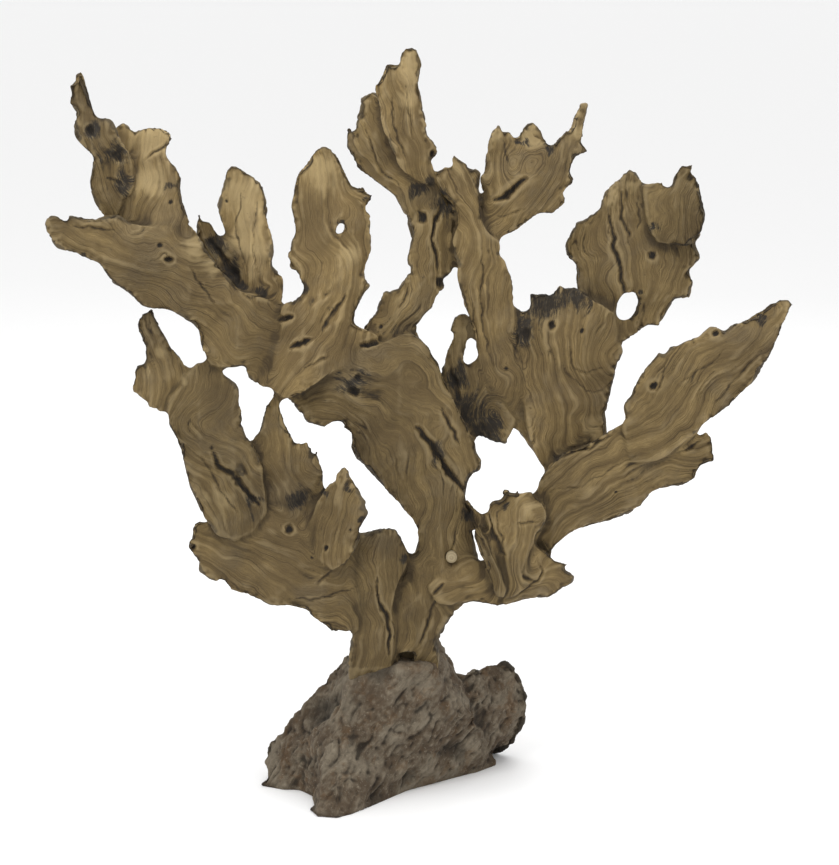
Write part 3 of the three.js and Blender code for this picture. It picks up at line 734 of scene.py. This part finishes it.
def splitWood(body, limbs, material, gaps, edges):  # the fused body, cut where one limb meets the next
    owner = np.argmin([np.min([gaps[node] for node in limb], axis=0) for limb in limbs.values()], axis=0)
    ties = np.maximum(np.bincount(edges.ravel(), minlength=len(owner)), 1)
    votes = np.stack([(owner == i).astype(float) for i in range(len(limbs))], axis=1)
    for _ in range(6):
        for i in range(len(limbs)):
            heard = np.bincount(edges[:, 0], votes[edges[:, 1], i], len(owner))
            heard += np.bincount(edges[:, 1], votes[edges[:, 0], i], len(owner))
            votes[:, i] = (votes[:, i] + heard) / (ties + 1)
    owner = np.argmax(votes, axis=1)
    whole = bmesh.new()
    whole.from_mesh(body.data)
    whole.faces.ensure_lookup_table()
    belongs = [int(owner[face.verts[0].index]) for face in whole.faces]
    border = [face for face in whole.faces if len({owner[point.index] for point in face.verts}) > 1]
    for _ in range(4):  # no face stays alone among another limb's
        for face in border:
            others = [other for edge in face.edges for other in edge.link_faces if other != face]
            around = [belongs[other.index] for other in others]
            if around.count(belongs[face.index]) < 2:
                belongs[face.index] = max(sorted(set(around)), key=around.count)
    for i, (name, limb) in enumerate(limbs.items()):
        part = whole.copy()
        part.faces.ensure_lookup_table()
        others = [face for face in part.faces if belongs[face.index] != i]
        bmesh.ops.delete(part, geom=others, context="FACES")
        borders = {point: sum(edge.is_boundary for edge in point.link_edges) for point in part.verts}
        for point in [point for point, count in borders.items() if count > 2]:  # where cuts cross
            bmesh.utils.vert_separate(point, [])
        rims = [edge for edge in part.edges if edge.is_boundary]
        caps = bmesh.ops.edgeloop_fill(part, edges=rims)["faces"]
        for edge in rims:
            edge.smooth = False
        bmesh.ops.poke(part, faces=caps)
        bmesh.ops.recalc_face_normals(part, faces=part.faces)
        if part.calc_volume(signed=True) < 0:
            bmesh.ops.reverse_faces(part, faces=part.faces)
        openEdges = sum(not edge.is_manifold for edge in part.edges)
        piece = newPiece(name, part)
        piece.data.materials.append(material)
        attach(piece, "root")
        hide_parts(*limb)
        piece.data.calc_loop_triangles()
        print(name, "cut:", len(piece.data.loop_triangles), "triangles,", openEdges, "open edges")
    whole.free()
    bpy.data.objects.remove(body)


# What each slab says. A place is (across, up), in parts of its node's box.
# flow: curves that the grain follows. knots: place, reach, lift. cracks: stops, width, depth.
# pits: place, reach, depth. char and pale: place, reach. tone: how light the slab's wood is.
# rag: how torn its rim is.

# trunk, tall fin and upper left arm, grown together
crown = {
    "trunk": {
        "tone": 0.55,
        "flow": [[(0.6, 0), (0.75, 0.3), (0.8, 0.55), (0.6, 0.8), (0.3, 0.9), (0, 0.95)],
                 [(0.85, 0.35), (0.95, 0.6), (0.85, 0.85), (0.65, 1)]],
        "knots": [(0.4, 0.85, 18, 14), (0.85, 0.45, 14, 10)],
        "cracks": [([(0.68, 0.75), (0.8, 0.66), (0.93, 0.56)], 10, 11), ([(0.8, 0.8), (0.9, 0.7)], 5, 4),
                   ([(0.7, 0.13), (0.8, 0.3)], 5, 4), ([(0.85, 0.35), (0.88, 0.5)], 3, 2)],
        "pits": [(0.38, 0.84, 8, 8), (0.4, 0.88, 5, 4), (0.15, 0.97, 7, 6)],
        "char": [(0.55, 0.06, 18), (0.95, 0.5, 12), (0.38, 0.86, 15), (0.8, 0.68, 12)],
    },
    "tall_fin": {
        "tone": 1.36,
        "flow": [[(0.1, 0.1), (0.45, 0.3), (0.7, 0.5), (0.6, 0.75), (0.55, 1)],
                 [(0.55, 0.1), (0.8, 0.35), (0.85, 0.6)]],
        "knots": [(0.65, 0.68, 24, 20), (0.8, 0.85, 16, 14), (0.3, 0.6, 16, 12)],
        "cracks": [([(0.08, 0.33), (0.25, 0.35)], 8, 7), ([(0.2, 0.22), (0.42, 0.26)], 9, 7),
                   ([(0.85, 0.22), (1, 0.25)], 8, 7), ([(0.5, 0.28), (0.7, 0.43)], 6, 4),
                   ([(0.35, 0.15), (0.6, 0.2)], 2.5, 2)],
        "pits": [(0.78, 0.04, 11, 10), (0.78, 0.12, 5, 4)],
        "char": [(0.68, 0.7, 5), (0.33, 0.47, 7), (0.92, 0.8, 4)],
        "pale": [(0.5, 0.9, 20), (0.75, 0.58, 12)],
    },
    "upper_left_arm": {
        "tone": 0.79,
        "flow": [[(1, 0.2), (0.8, 0.4), (0.5, 0.65), (0.2, 0.85), (0, 0.95)]],
        "knots": [(0.5, 0.8, 14, 9)],
        "cracks": [([(0.6, 0.72), (0.72, 0.48)], 3, 2), ([(0.08, 0.95), (0.3, 0.9)], 4, 2)],
        "pits": [(0.52, 0.75, 6, 7), (0.48, 0.83, 4, 3), (0.28, 1, 6, 5)],
        "pale": [(0.64, 0.8, 11), (0.7, 0.68, 10)],
    },
}


# lower left limb: curled foot, arm and fins
lowerLeft = {
    "foot_slab": {
        "tone": 0.56,
        "flow": [[(0.4, 0), (0.55, 0.35), (0.5, 0.65), (0.6, 0.95)], [(0.5, 0.45), (0.2, 0.7), (0, 0.8)]],
        "knots": [(0.3, 0.52, 14, 12)],
        "cracks": [([(0.5, 0.72), (0.5, 0.6), (0.65, 0.4), (0.7, 0.2)], 6, 5)],
        "char": [(0.9, 0.82, 7), (0.4, 0.03, 14)],
    },
    "lower_left_arm": {
        "tone": 0.86,
        "flow": [[(1, 0.25), (0.75, 0.3), (0.5, 0.45), (0.2, 0.65), (0, 0.75)]],
        "knots": [(0.6, 0.75, 16, 12), (0.2, 0.6, 14, 9)],
        "cracks": [([(0.55, 0.3), (0.8, 0.3), (1, 0.4)], 3, 2), ([(0.84, 0.52), (0.75, 0.38)], 4, 3)],
        "pits": [(0.59, 0.8, 6, 5), (0.03, 0.68, 6, 5), (0.79, 0.66, 4, 3), (0.72, 0.6, 3, 2)],
        "char": [(0.4, 0.95, 9), (0.62, 0.98, 9)],
    },
    "lower_inner_fin": {
        "tone": 0.9,
        "flow": [[(0.5, 0), (0.5, 0.4), (0.6, 0.9)]],
        "pits": [(0.27, 0.24, 4, 4), (0.7, 0.42, 2.5, 2)],
        "char": [(0.68, 0.82, 6), (0.92, 0.52, 4), (0.25, 0.75, 5)],
        "pale": [(0.72, 0.3, 9)],
    },
    "lower_middle_fin": {
        "tone": 0.76,
        "flow": [[(0.6, 0), (0.45, 0.4), (0.33, 1)]],
        "knots": [(0.7, 0.35, 16, 10)],
        "char": [(0.65, 0.08, 13), (0.1, 0.08, 9)],
    },
    "lower_outer_fin": {
        "tone": 0.43,
        "flow": [[(0.8, 0), (0.55, 0.35), (0.3, 0.6), (0.35, 1)]],
        "knots": [(0.25, 0.65, 34, 30)],
        "cracks": [([(0.45, 0.55), (0.55, 0.42), (0.75, 0.35), (0.95, 0.18)], 8, 6),
                   ([(0.2, 0.55), (0.45, 0.4), (0.75, 0.12)], 3, 2)],
        "char": [(0.88, 0.22, 9)],
        "pale": [(0.55, 0.25, 15), (0.22, 0.9, 6)],
    },
    "left_prong": {
        "tone": 0.82,
        "flow": [[(0.4, 0.1), (0.4, 0.5), (0.25, 0.95)]],
        "pale": [(0.38, 0.6, 9), (0.85, 0.32, 8)],
    },
}


# antler and the pale plate that it stands behind
antlers = {
    "antler_plate": {
        "tone": 1.4, "rag": 1.2,
        "flow": [[(0.55, 0), (0.5, 0.5), (0.45, 1)]],
        "cracks": [([(0.45, 0.7), (0.6, 0.8), (0.72, 0.86)], 4, 3)],
        "pits": [(0.07, 0.24, 5, 5), (0.76, 0.35, 4, 3)],
        "char": [(0.76, 0.5, 5)],
        "pale": [(0.5, 0.9, 24), (0.5, 0.55, 20)],
    },
    "antler": {
        "tone": 0.74, "rag": 1.2,
        "flow": [[(0.7, 0.05), (0.6, 0.35), (0.3, 0.65), (0.2, 1)]],
        "pits": [(0.35, 0.61, 7, 5), (0.8, 0.44, 8, 5)],
        "cracks": [([(0.85, 0.25), (0.6, 0.3)], 5, 4)],
        "char": [(0.7, 0.45, 15), (0.85, 0.25, 12), (0.4, 0.6, 9)],
        "pale": [(0.15, 0.7, 6)],
    },
}


# pale fin and its dark splinter
paleFin = {
    "small_fin": {
        "tone": 1.36,
        "flow": [[(0.7, 0.05), (0.55, 0.4), (0.45, 1)]],
        "knots": [(0.85, 0.18, 12, 10)],
        "cracks": [([(0.35, 0.85), (0.3, 0.55), (0.45, 0.25)], 2.5, 1.5),
                   ([(0.6, 0.8), (0.55, 0.5), (0.62, 0.3)], 2.5, 1.5)],
        "pits": [(0.12, 0.76, 3, 3)],
        "char": [(0.35, 0.2, 8), (0.65, 0.14, 7)],
        "pale": [(0.45, 0.8, 30), (0.5, 0.5, 24)],
    },
    "fin_splinter": {
        "tone": 0.66,
        "flow": [[(1, 0.05), (0.6, 0.5), (0.15, 1)]],
        "cracks": [([(0.95, 0.1), (0.6, 0.5), (0.3, 0.75)], 10, 6)],
        "char": [(0.7, 0.4, 20), (0.4, 0.7, 12), (0.95, 0.1, 12)],
    },
}


# neck and the two lobes above it
plume = {
    "neck": {
        "tone": 0.88, "rag": 1.2,
        "flow": [[(0.3, 0), (0.5, 0.35), (0.6, 0.7), (0.7, 1)], [(0.75, 0.3), (0.85, 0.7), (0.9, 1)]],
        "knots": [(0.55, 0.9, 12, 10), (0.85, 0.7, 12, 10)],
        "cracks": [([(0.8, 0.92), (0.68, 0.72), (0.75, 0.5)], 6, 6), ([(0.35, 0.28), (0.45, 0.45)], 3, 3),
                   ([(0.65, 0.15), (0.4, 0.15)], 4, 3)],
        "pits": [(0.57, 0.83, 8, 6), (0.17, 0.18, 3, 3), (0.76, 0.44, 8, 6)],
        "char": [(0.82, 0.9, 15), (0.78, 0.46, 10), (0.35, 0.1, 9)],
    },
    "top_fin_wing": {
        "tone": 1.0, "rag": 1.3,
        "flow": [[(0.75, 0.05), (0.45, 0.4), (0.2, 0.9)]],
        "knots": [(0.72, 0.12, 8, 7)],
        "cracks": [([(0.2, 0.75), (0.35, 0.45), (0.6, 0.2)], 3.5, 2.5)],
        "char": [(0.75, 0.25, 11)],
    },
    "top_fin": {
        "tone": 1.26, "rag": 1.2,
        "flow": [[(0.8, 0.1), (0.6, 0.4), (0.5, 0.7), (0.6, 1)]],
        "cracks": [([(0.25, 0.7), (0.3, 0.45), (0.5, 0.15)], 3, 2), ([(0.45, 0.75), (0.6, 0.35)], 2.5, 1.5)],
        "pits": [(0.9, 0.24, 5, 6)],
        "char": [(0.85, 0.04, 8)],
        "pale": [(0.6, 0.88, 18), (0.5, 0.6, 12)],
    },
}


# long blade from the crook down to the right fork
blade = {
    "long_blade": {
        "tone": 1.08,
        "flow": [[(0.9, 0), (0.62, 0.3), (0.45, 0.55), (0.42, 0.8), (0.2, 1)],
                 [(0.3, 0.85), (0.1, 0.9), (0, 0.95)]],
        "knots": [(0.6, 0.34, 8, 7), (0.25, 0.8, 10, 7)],
        "cracks": [([(0.4, 0.72), (0.43, 0.5), (0.52, 0.33)], 3, 2), ([(0.3, 0.6), (0.4, 0.4)], 3, 1.5)],
        "pits": [(0.63, 0.335, 3, 4), (0.46, 0.71, 2.5, 2)],
        "char": [(0.08, 0.88, 8)],
        "pale": [(0.2, 0.97, 13)],
    },
}


# ragged fin at the top right
raggedFin = {
    "top_right_fin": {
        "tone": 1.02, "rag": 1.4,
        "flow": [[(0, 0.1), (0.4, 0.35), (0.7, 0.6), (0.95, 1)], [(0.2, 0.4), (0.25, 0.8)]],
        "knots": [(0.28, 0.55, 14, 12), (0.5, 0.7, 14, 10)],
        "cracks": [([(0.13, 0.31), (0.27, 0.37), (0.43, 0.48)], 10, 10),
                   ([(0.15, 0.2), (0.4, 0.25)], 2.5, 1.5),
                   ([(0.2, 0.75), (0.3, 0.55)], 3, 2)],
        "pale": [(0.15, 0.78, 9), (0.47, 0.84, 13), (0.85, 0.8, 11), (0.95, 0.95, 10)],
        "char": [(0.35, 0.75, 5), (0.65, 0.72, 4)],
    },
}


# wide slab with a charred, broken top
charredSlab = {
    "wide_slab": {
        "tone": 1.06, "rag": 1.2,
        "flow": [[(0.45, 0), (0.45, 0.3), (0.35, 0.6), (0.35, 1)]],
        "knots": [(0.85, 0.6, 36, 34), (0.55, 0.3, 10, 8)],
        "cracks": [([(0.45, 0.6), (0.6, 0.48), (0.75, 0.44), (0.93, 0.49)], 2.5, 1.2),
                   ([(0.5, 0.68), (0.62, 0.56), (0.9, 0.56)], 2.5, 1.2), ([(0.2, 0.25), (0.22, 0.1)], 3, 2)],
        "pits": [(0.62, 0.77, 4, 3), (0.35, 0.8, 7, 5), (0.12, 0.75, 8, 5)],
        "char": [(0.08, 0.78, 17), (0.3, 0.92, 24), (0.12, 0.92, 18), (0.55, 0.95, 17), (0.85, 1, 9),
                 (0.45, 0.06, 9)],
        "pale": [(0.75, 0.25, 14), (0.86, 0.87, 5)],
    },
}


# fan and the flake that overlaps it
fan = {
    "right_fan": {
        "tone": 0.78, "rag": 1.4,
        "flow": [[(0.45, 0.05), (0.45, 0.4), (0.45, 0.95)], [(0.7, 0.2), (0.85, 0.5)]],
        "knots": [(0.33, 0.38, 20, 18), (0.15, 0.55, 14, 10)],
        "cracks": [([(0.33, 0.75), (0.37, 0.5), (0.44, 0.3)], 6, 6), ([(0.4, 0.88), (0.45, 0.6)], 4, 4),
                   ([(0.55, 0.85), (0.5, 0.65)], 2.5, 1.5)],
        "pits": [(0.63, 0.53, 6, 4)],
        "char": [(0.66, 0.68, 6), (0.55, 0.33, 5)],
        "pale": [(0.48, 0.9, 10), (0.33, 0.87, 9)],
    },
    "fan_flake": {
        "tone": 0.5, "rag": 1.2,
        "flow": [[(0.5, 0), (0.5, 0.5), (0.65, 1)]],
        "char": [(0.15, 0.25, 6)],
    },
}


# right arm and the pointed blade that rises from it
rightArm = {
    "right_arm": {
        "tone": 0.83,
        "flow": [[(0.05, 0.1), (0.3, 0.45), (0.6, 0.7), (1, 0.8)], [(0.1, 0.4), (0.4, 0.75), (0.7, 1)]],
        "knots": [(0.68, 0.82, 8, 7), (0.27, 0.42, 8, 6)],
        "cracks": [([(0.22, 0.72), (0.35, 0.82), (0.5, 0.92)], 4, 3), ([(0.8, 0.78), (0.93, 0.88)], 4, 3),
                   ([(0.15, 0.5), (0.4, 0.6), (0.6, 0.8)], 2.5, 1.2)],
        "pits": [(0.5, 0.5, 2.5, 3)],
        "char": [(0.2, 0.72, 5)],
    },
    "right_blade": {
        "tone": 0.86,
        "flow": [[(0.1, 0.05), (0.4, 0.4), (0.7, 0.7), (0.95, 1)]],
        "cracks": [([(0.2, 0.45), (0.25, 0.6)], 3, 2), ([(0.5, 0.35), (0.8, 0.7)], 2.5, 1.5),
                   ([(0.3, 0.5), (0.6, 0.7)], 2.5, 1.2)],
        "pits": [(0.17, 0.48, 6, 5), (0.54, 0.79, 5, 4)],
        "char": [(0.82, 0.88, 6), (0.3, 0.71, 4)],
    },
}


# peg and knot blocks, low on the right
knots = {
    "right_peg": {
        "tone": 1.0,
        "flow": [[(0, 0.1), (0.3, 0.35), (0.7, 0.65)]],
        "cracks": [([(0.02, 0.35), (0.15, 0.6)], 5, 4)],
    },
    "knot_upper": {
        "tone": 1.0, "rag": 1.2,
        "flow": [[(0.3, 0), (0.35, 0.4), (0.6, 0.75), (1, 0.8)]],
        "knots": [(0.6, 0.8, 14, 12)],
        "cracks": [([(0, 0.75), (0.15, 0.55), (0.3, 0.4)], 6, 6), ([(0.5, 0.7), (0.9, 0.68)], 3, 2)],
        "char": [(0.25, 0.86, 5)],
        "pale": [(0.65, 0.8, 12)],
    },
    "knot_lower": {
        "tone": 0.96,
        "flow": [[(0, 0.4), (0.5, 0.45), (1, 0.4)]],
        "knots": [(0.4, 0.65, 14, 16)],
        "cracks": [([(0.27, 0.9), (0.25, 0.5), (0.4, 0.42)], 6, 5),
                   ([(0.45, 0.8), (0.5, 0.55), (0.2, 0.2)], 3.5, 3)],
    },
    "splinter_rear": {
        "tone": 0.8,
        "flow": [[(1, 0.25), (0.4, 0.7), (0, 1)]],
    },
}


darkSplinter = {
    "splinter_front": {
        "tone": 0.42,
        "flow": [[(0.9, 0), (0.6, 0.5), (0.15, 1)]],
        "cracks": [([(0.2, 0.9), (0.5, 0.6)], 4, 3)],
    },
}


# fork behind the trunk, charred low down, with a tan tip
innerFork = {
    "inner_fork": {
        "tone": 0.52, "rag": 1.2,
        "flow": [[(0.45, 0), (0.4, 0.4), (0.3, 0.7), (0.4, 1)]],
        "knots": [(0.6, 0.25, 28, 24)],
        "cracks": [([(0.2, 0.6), (0.3, 0.3)], 6, 5)],
        "pits": [(0.35, 0.2, 9, 6)],
        "char": [(0.3, 0.2, 30), (0.65, 0.15, 26), (0.25, 0.5, 16)],
        "pale": [(0.4, 0.85, 18), (0.45, 0.7, 8)],
    },
}


carveWood({
    "crown": crown, "lowerLeft": lowerLeft, "antlers": antlers, "paleFin": paleFin, "plume": plume,
    "blade": blade, "raggedFin": raggedFin, "charredSlab": charredSlab, "fan": fan, "rightArm": rightArm,
    "knots": knots, "darkSplinter": darkSplinter, "innerFork": innerFork,
}, slabWood)


burlShape = {
    "voxel": 1.9,
    "swell": 8,
    "left": 1.5,
    "lean": (-0.62, -0.25, -0.74),  # the way its fibres run
    "lumps": (58, 3.6),
    "bumps": (24, 2.8),
    "folds": (17, 2.4),
    "fibres": (8, 1.5),
    "threads": (4.4, 0.9),
    "crumbs": (7, 1.7),
    "grit": (3.5, 0.85),
    "hollows": (46, 16),
    "warp": (38, 11),  # how far the folds wander
    "meltReach": 40,  # the slabs' feet are melted in over this distance
    "meltRounds": 24,
    "collar": (30, 7),  # reach and height of the bark that wraps the feet
    "reliefRounds": 20,
}
burlLook = {
    "brown": (84, 71, 56), "grey": (117, 107, 91), "rust": (92, 69, 45), "dark": (34, 30, 25),
    "speck": (140, 130, 112),
    "gloss": 0.25, "bumpHeight": 0.0012, "bump": 0.8,
}


def carveBurl(material):
    body = remeshed("burl", ["burl_base"], burlShape["swell"], burlShape["voxel"])
    mesh = body.data
    edges = edgesOf(mesh)
    points = pulledIn(pointsOf(mesh), edges, 12)
    points = points - normalsOf(mesh, points) * (burlShape["swell"] - burlShape["left"])
    points = withoutNeedles(pulledIn(points, edges, 3), edges)
    feet = np.min([gapsTo(node, nodeTrees[node], points, 60) for node in ("trunk", "foot_slab")], axis=0)
    melt = easeOut(feet, burlShape["meltReach"])[:, None]
    points = melted(points, edges, melt, burlShape["meltRounds"])
    normals = normalsOf(mesh, points)
    lean = np.array(burlShape["lean"]) / np.linalg.norm(burlShape["lean"])
    run = points @ lean
    stretched = points - (run * 0.8)[:, None] * lean
    warp = np.stack([raised(points, burlShape["warp"], seed) for seed in (21, 22, 23)], axis=1)
    fold = 1 - np.abs(smoothNoise(stretched + warp, burlShape["folds"][0], 24)) * 2
    fibre = smoothNoise(stretched + warp * 0.6, burlShape["fibres"][0], 25)
    lift = raised(points, burlShape["lumps"], 27) + raised(points, burlShape["bumps"], 28)
    broken = np.clip(smoothNoise(points, 30, 32) * 2.5 + 0.2, 0, 1)
    lift -= np.maximum(fold - 0.4, 0) * burlShape["folds"][1] * 3 * broken
    lift += fibre * burlShape["fibres"][1]
    lift += raised(stretched, burlShape["threads"], 26)
    lift += raised(points, burlShape["crumbs"], 29)
    lift += raised(points, burlShape["grit"], 31)
    hollow = np.maximum(smoothNoise(points, burlShape["hollows"][0], 30) - 0.26, 0) * burlShape["hollows"][1]
    lift -= hollow
    collar = easeOut(feet, burlShape["collar"][0])
    lift = lift * (1 - collar * 0.5) + collar * burlShape["collar"][1]
    standing = np.clip(points[:, 2] / 7, 0, 1)
    points = points + normals * (lift * standing)[:, None]
    points = withoutNeedles(relaxed(points, edges, 1), edges)
    under = (points[:, 2] < 1.2) & (normals[:, 2] < -0.5)
    points[:, 2] = np.where(under, 0, np.maximum(points[:, 2], 0))
    normals = normalsOf(mesh, points)
    relief = ((points - pulledIn(points, edges, burlShape["reliefRounds"])) * normals).sum(axis=1)
    # burnt on the burl holds painted shade: the deeper carved hollows are darkened by it
    values = {"grain": fibre * 9 + smoothNoise(stretched, 14, 33) * 6, "along": run, "relief": relief,
              "burnt": np.clip(hollow / 6, 0, 1)}
    layOn(mesh, points, values)
    mesh.materials.append(material)
    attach(body, "root")
    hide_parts("burl_base")
    print("burl carved:", len(mesh.polygons) * 2, "triangles")


def burlMaterial(look):
    material, tree, finish = newMaterial("burlBark")
    paint = paintsOf(look)
    place = bodyPlace(tree)
    relief = carved(tree, "relief")
    patch = remap(tree, noiseValue(tree, place, 24, 5, 0.65), 0.4, 0.62)
    colour = blendPaint(tree, patch, paint["brown"], paint["grey"])
    rust = remap(tree, noiseValue(tree, place, 41, 4, 0.6), 0.52, 0.68)
    colour = wash(tree, rust, 0.55, colour, paint["rust"])
    fibre = remap(tree, noiseValue(tree, carved(tree, "grain"), 0.9, 2, 0.6, "1D"), 0.35, 0.65)
    colour = wash(tree, fibre, 0.28, colour, paint["dark"])
    speck = remap(tree, noiseValue(tree, place, 300, 3, 0.7), 0.56, 0.72)
    colour = wash(tree, speck, 0.5, colour, paint["speck"])
    colour = wash(tree, remap(tree, relief, 0.1, 1.6), 0.3, colour, paint["speck"])
    # painted shade: crevices in the relief, and the deeper carved hollows held in burnt, are darkened
    colour = wash(tree, remap(tree, relief, 0.0, -1.8), 0.75, colour, paint["dark"])
    colour = wash(tree, carved(tree, "burnt"), 0.6, colour, paint["dark"])
    feed(tree, finish.inputs["Base Color"], colour)
    feed(tree, finish.inputs["Roughness"], remap(tree, speck, 0, 1, 0.92, 0.72))
    finish.inputs["Specular IOR Level"].default_value = look["gloss"]
    height = calc(tree, "ADD", noiseValue(tree, place, 380, 5, 0.7), calc(tree, "MULTIPLY", fibre, 0.4))
    addBump(tree, finish, height, look["bumpHeight"], look["bump"])
    return material


carveBurl(burlMaterial(burlLook))


plugShape = {
    "crown": 0.0006, "chamfer": 0.0009, "segments": 48,
    "ringScale": 90, "ringWander": 2.5, "bumpHeight": 0.0003,
    "light": (150, 136, 106), "dark": (112, 96, 70),
}


def plugMaterial(middle):
    material, tree, finish = newMaterial("plugEndGrain")
    paint = paintsOf(plugShape)
    centred = tree.nodes.new("ShaderNodeMapping")
    centred.inputs["Location"].default_value = (-middle.x, 0, -middle.z)
    feed(tree, centred.inputs["Vector"], bodyPlace(tree))
    rings = tree.nodes.new("ShaderNodeTexWave")
    rings.wave_type = "RINGS"
    rings.rings_direction = "Y"
    feed(tree, rings.inputs["Vector"], centred.outputs[0])
    rings.inputs["Scale"].default_value = plugShape["ringScale"]
    rings.inputs["Distortion"].default_value = plugShape["ringWander"]
    grit = noiseValue(tree, centred.outputs[0], 900, 3, 0.6)
    factor = calc(tree, "MULTIPLY", rings.outputs["Fac"], grit)
    feed(tree, finish.inputs["Base Color"], blendPaint(tree, factor, paint["light"], paint["dark"]))
    feed(tree, finish.inputs["Roughness"], remap(tree, grit, 0.2, 0.8, 0.6, 0.85))
    addBump(tree, finish, grit, plugShape["bumpHeight"])
    return material


def turnPlug():
    low, high = (Vector(corner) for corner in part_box("dowel_plug"))
    middle = (low + high) / 2
    radius = (high.x - low.x) / 2
    depth = high.y - low.y
    shape = bmesh.new()
    bmesh.ops.create_cone(
        shape, cap_ends=True, segments=plugShape["segments"], radius1=radius, radius2=radius, depth=depth)
    rims = [edge for edge in shape.edges if abs(edge.verts[0].co.z - edge.verts[1].co.z) < depth / 2]
    bmesh.ops.bevel(shape, geom=rims, affect="EDGES", offset=plugShape["chamfer"], segments=3,
                    profile=0.5, material=-1)
    caps = [face for face in shape.faces if len(face.verts) > 8]
    for point in bmesh.ops.poke(shape, faces=caps)["verts"]:
        point.co.z += math.copysign(plugShape["crown"], point.co.z)
    bmesh.ops.rotate(shape, matrix=Matrix.Rotation(math.radians(90), 3, "X"), verts=shape.verts)
    bmesh.ops.translate(shape, vec=middle, verts=shape.verts)
    bmesh.ops.recalc_face_normals(shape, faces=shape.faces)
    plug = newPiece("dowelPlug", shape)
    plug.data.materials.append(plugMaterial(middle))
    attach(plug, "root")
    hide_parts("dowel_plug")


turnPlug()
print("plug turned")
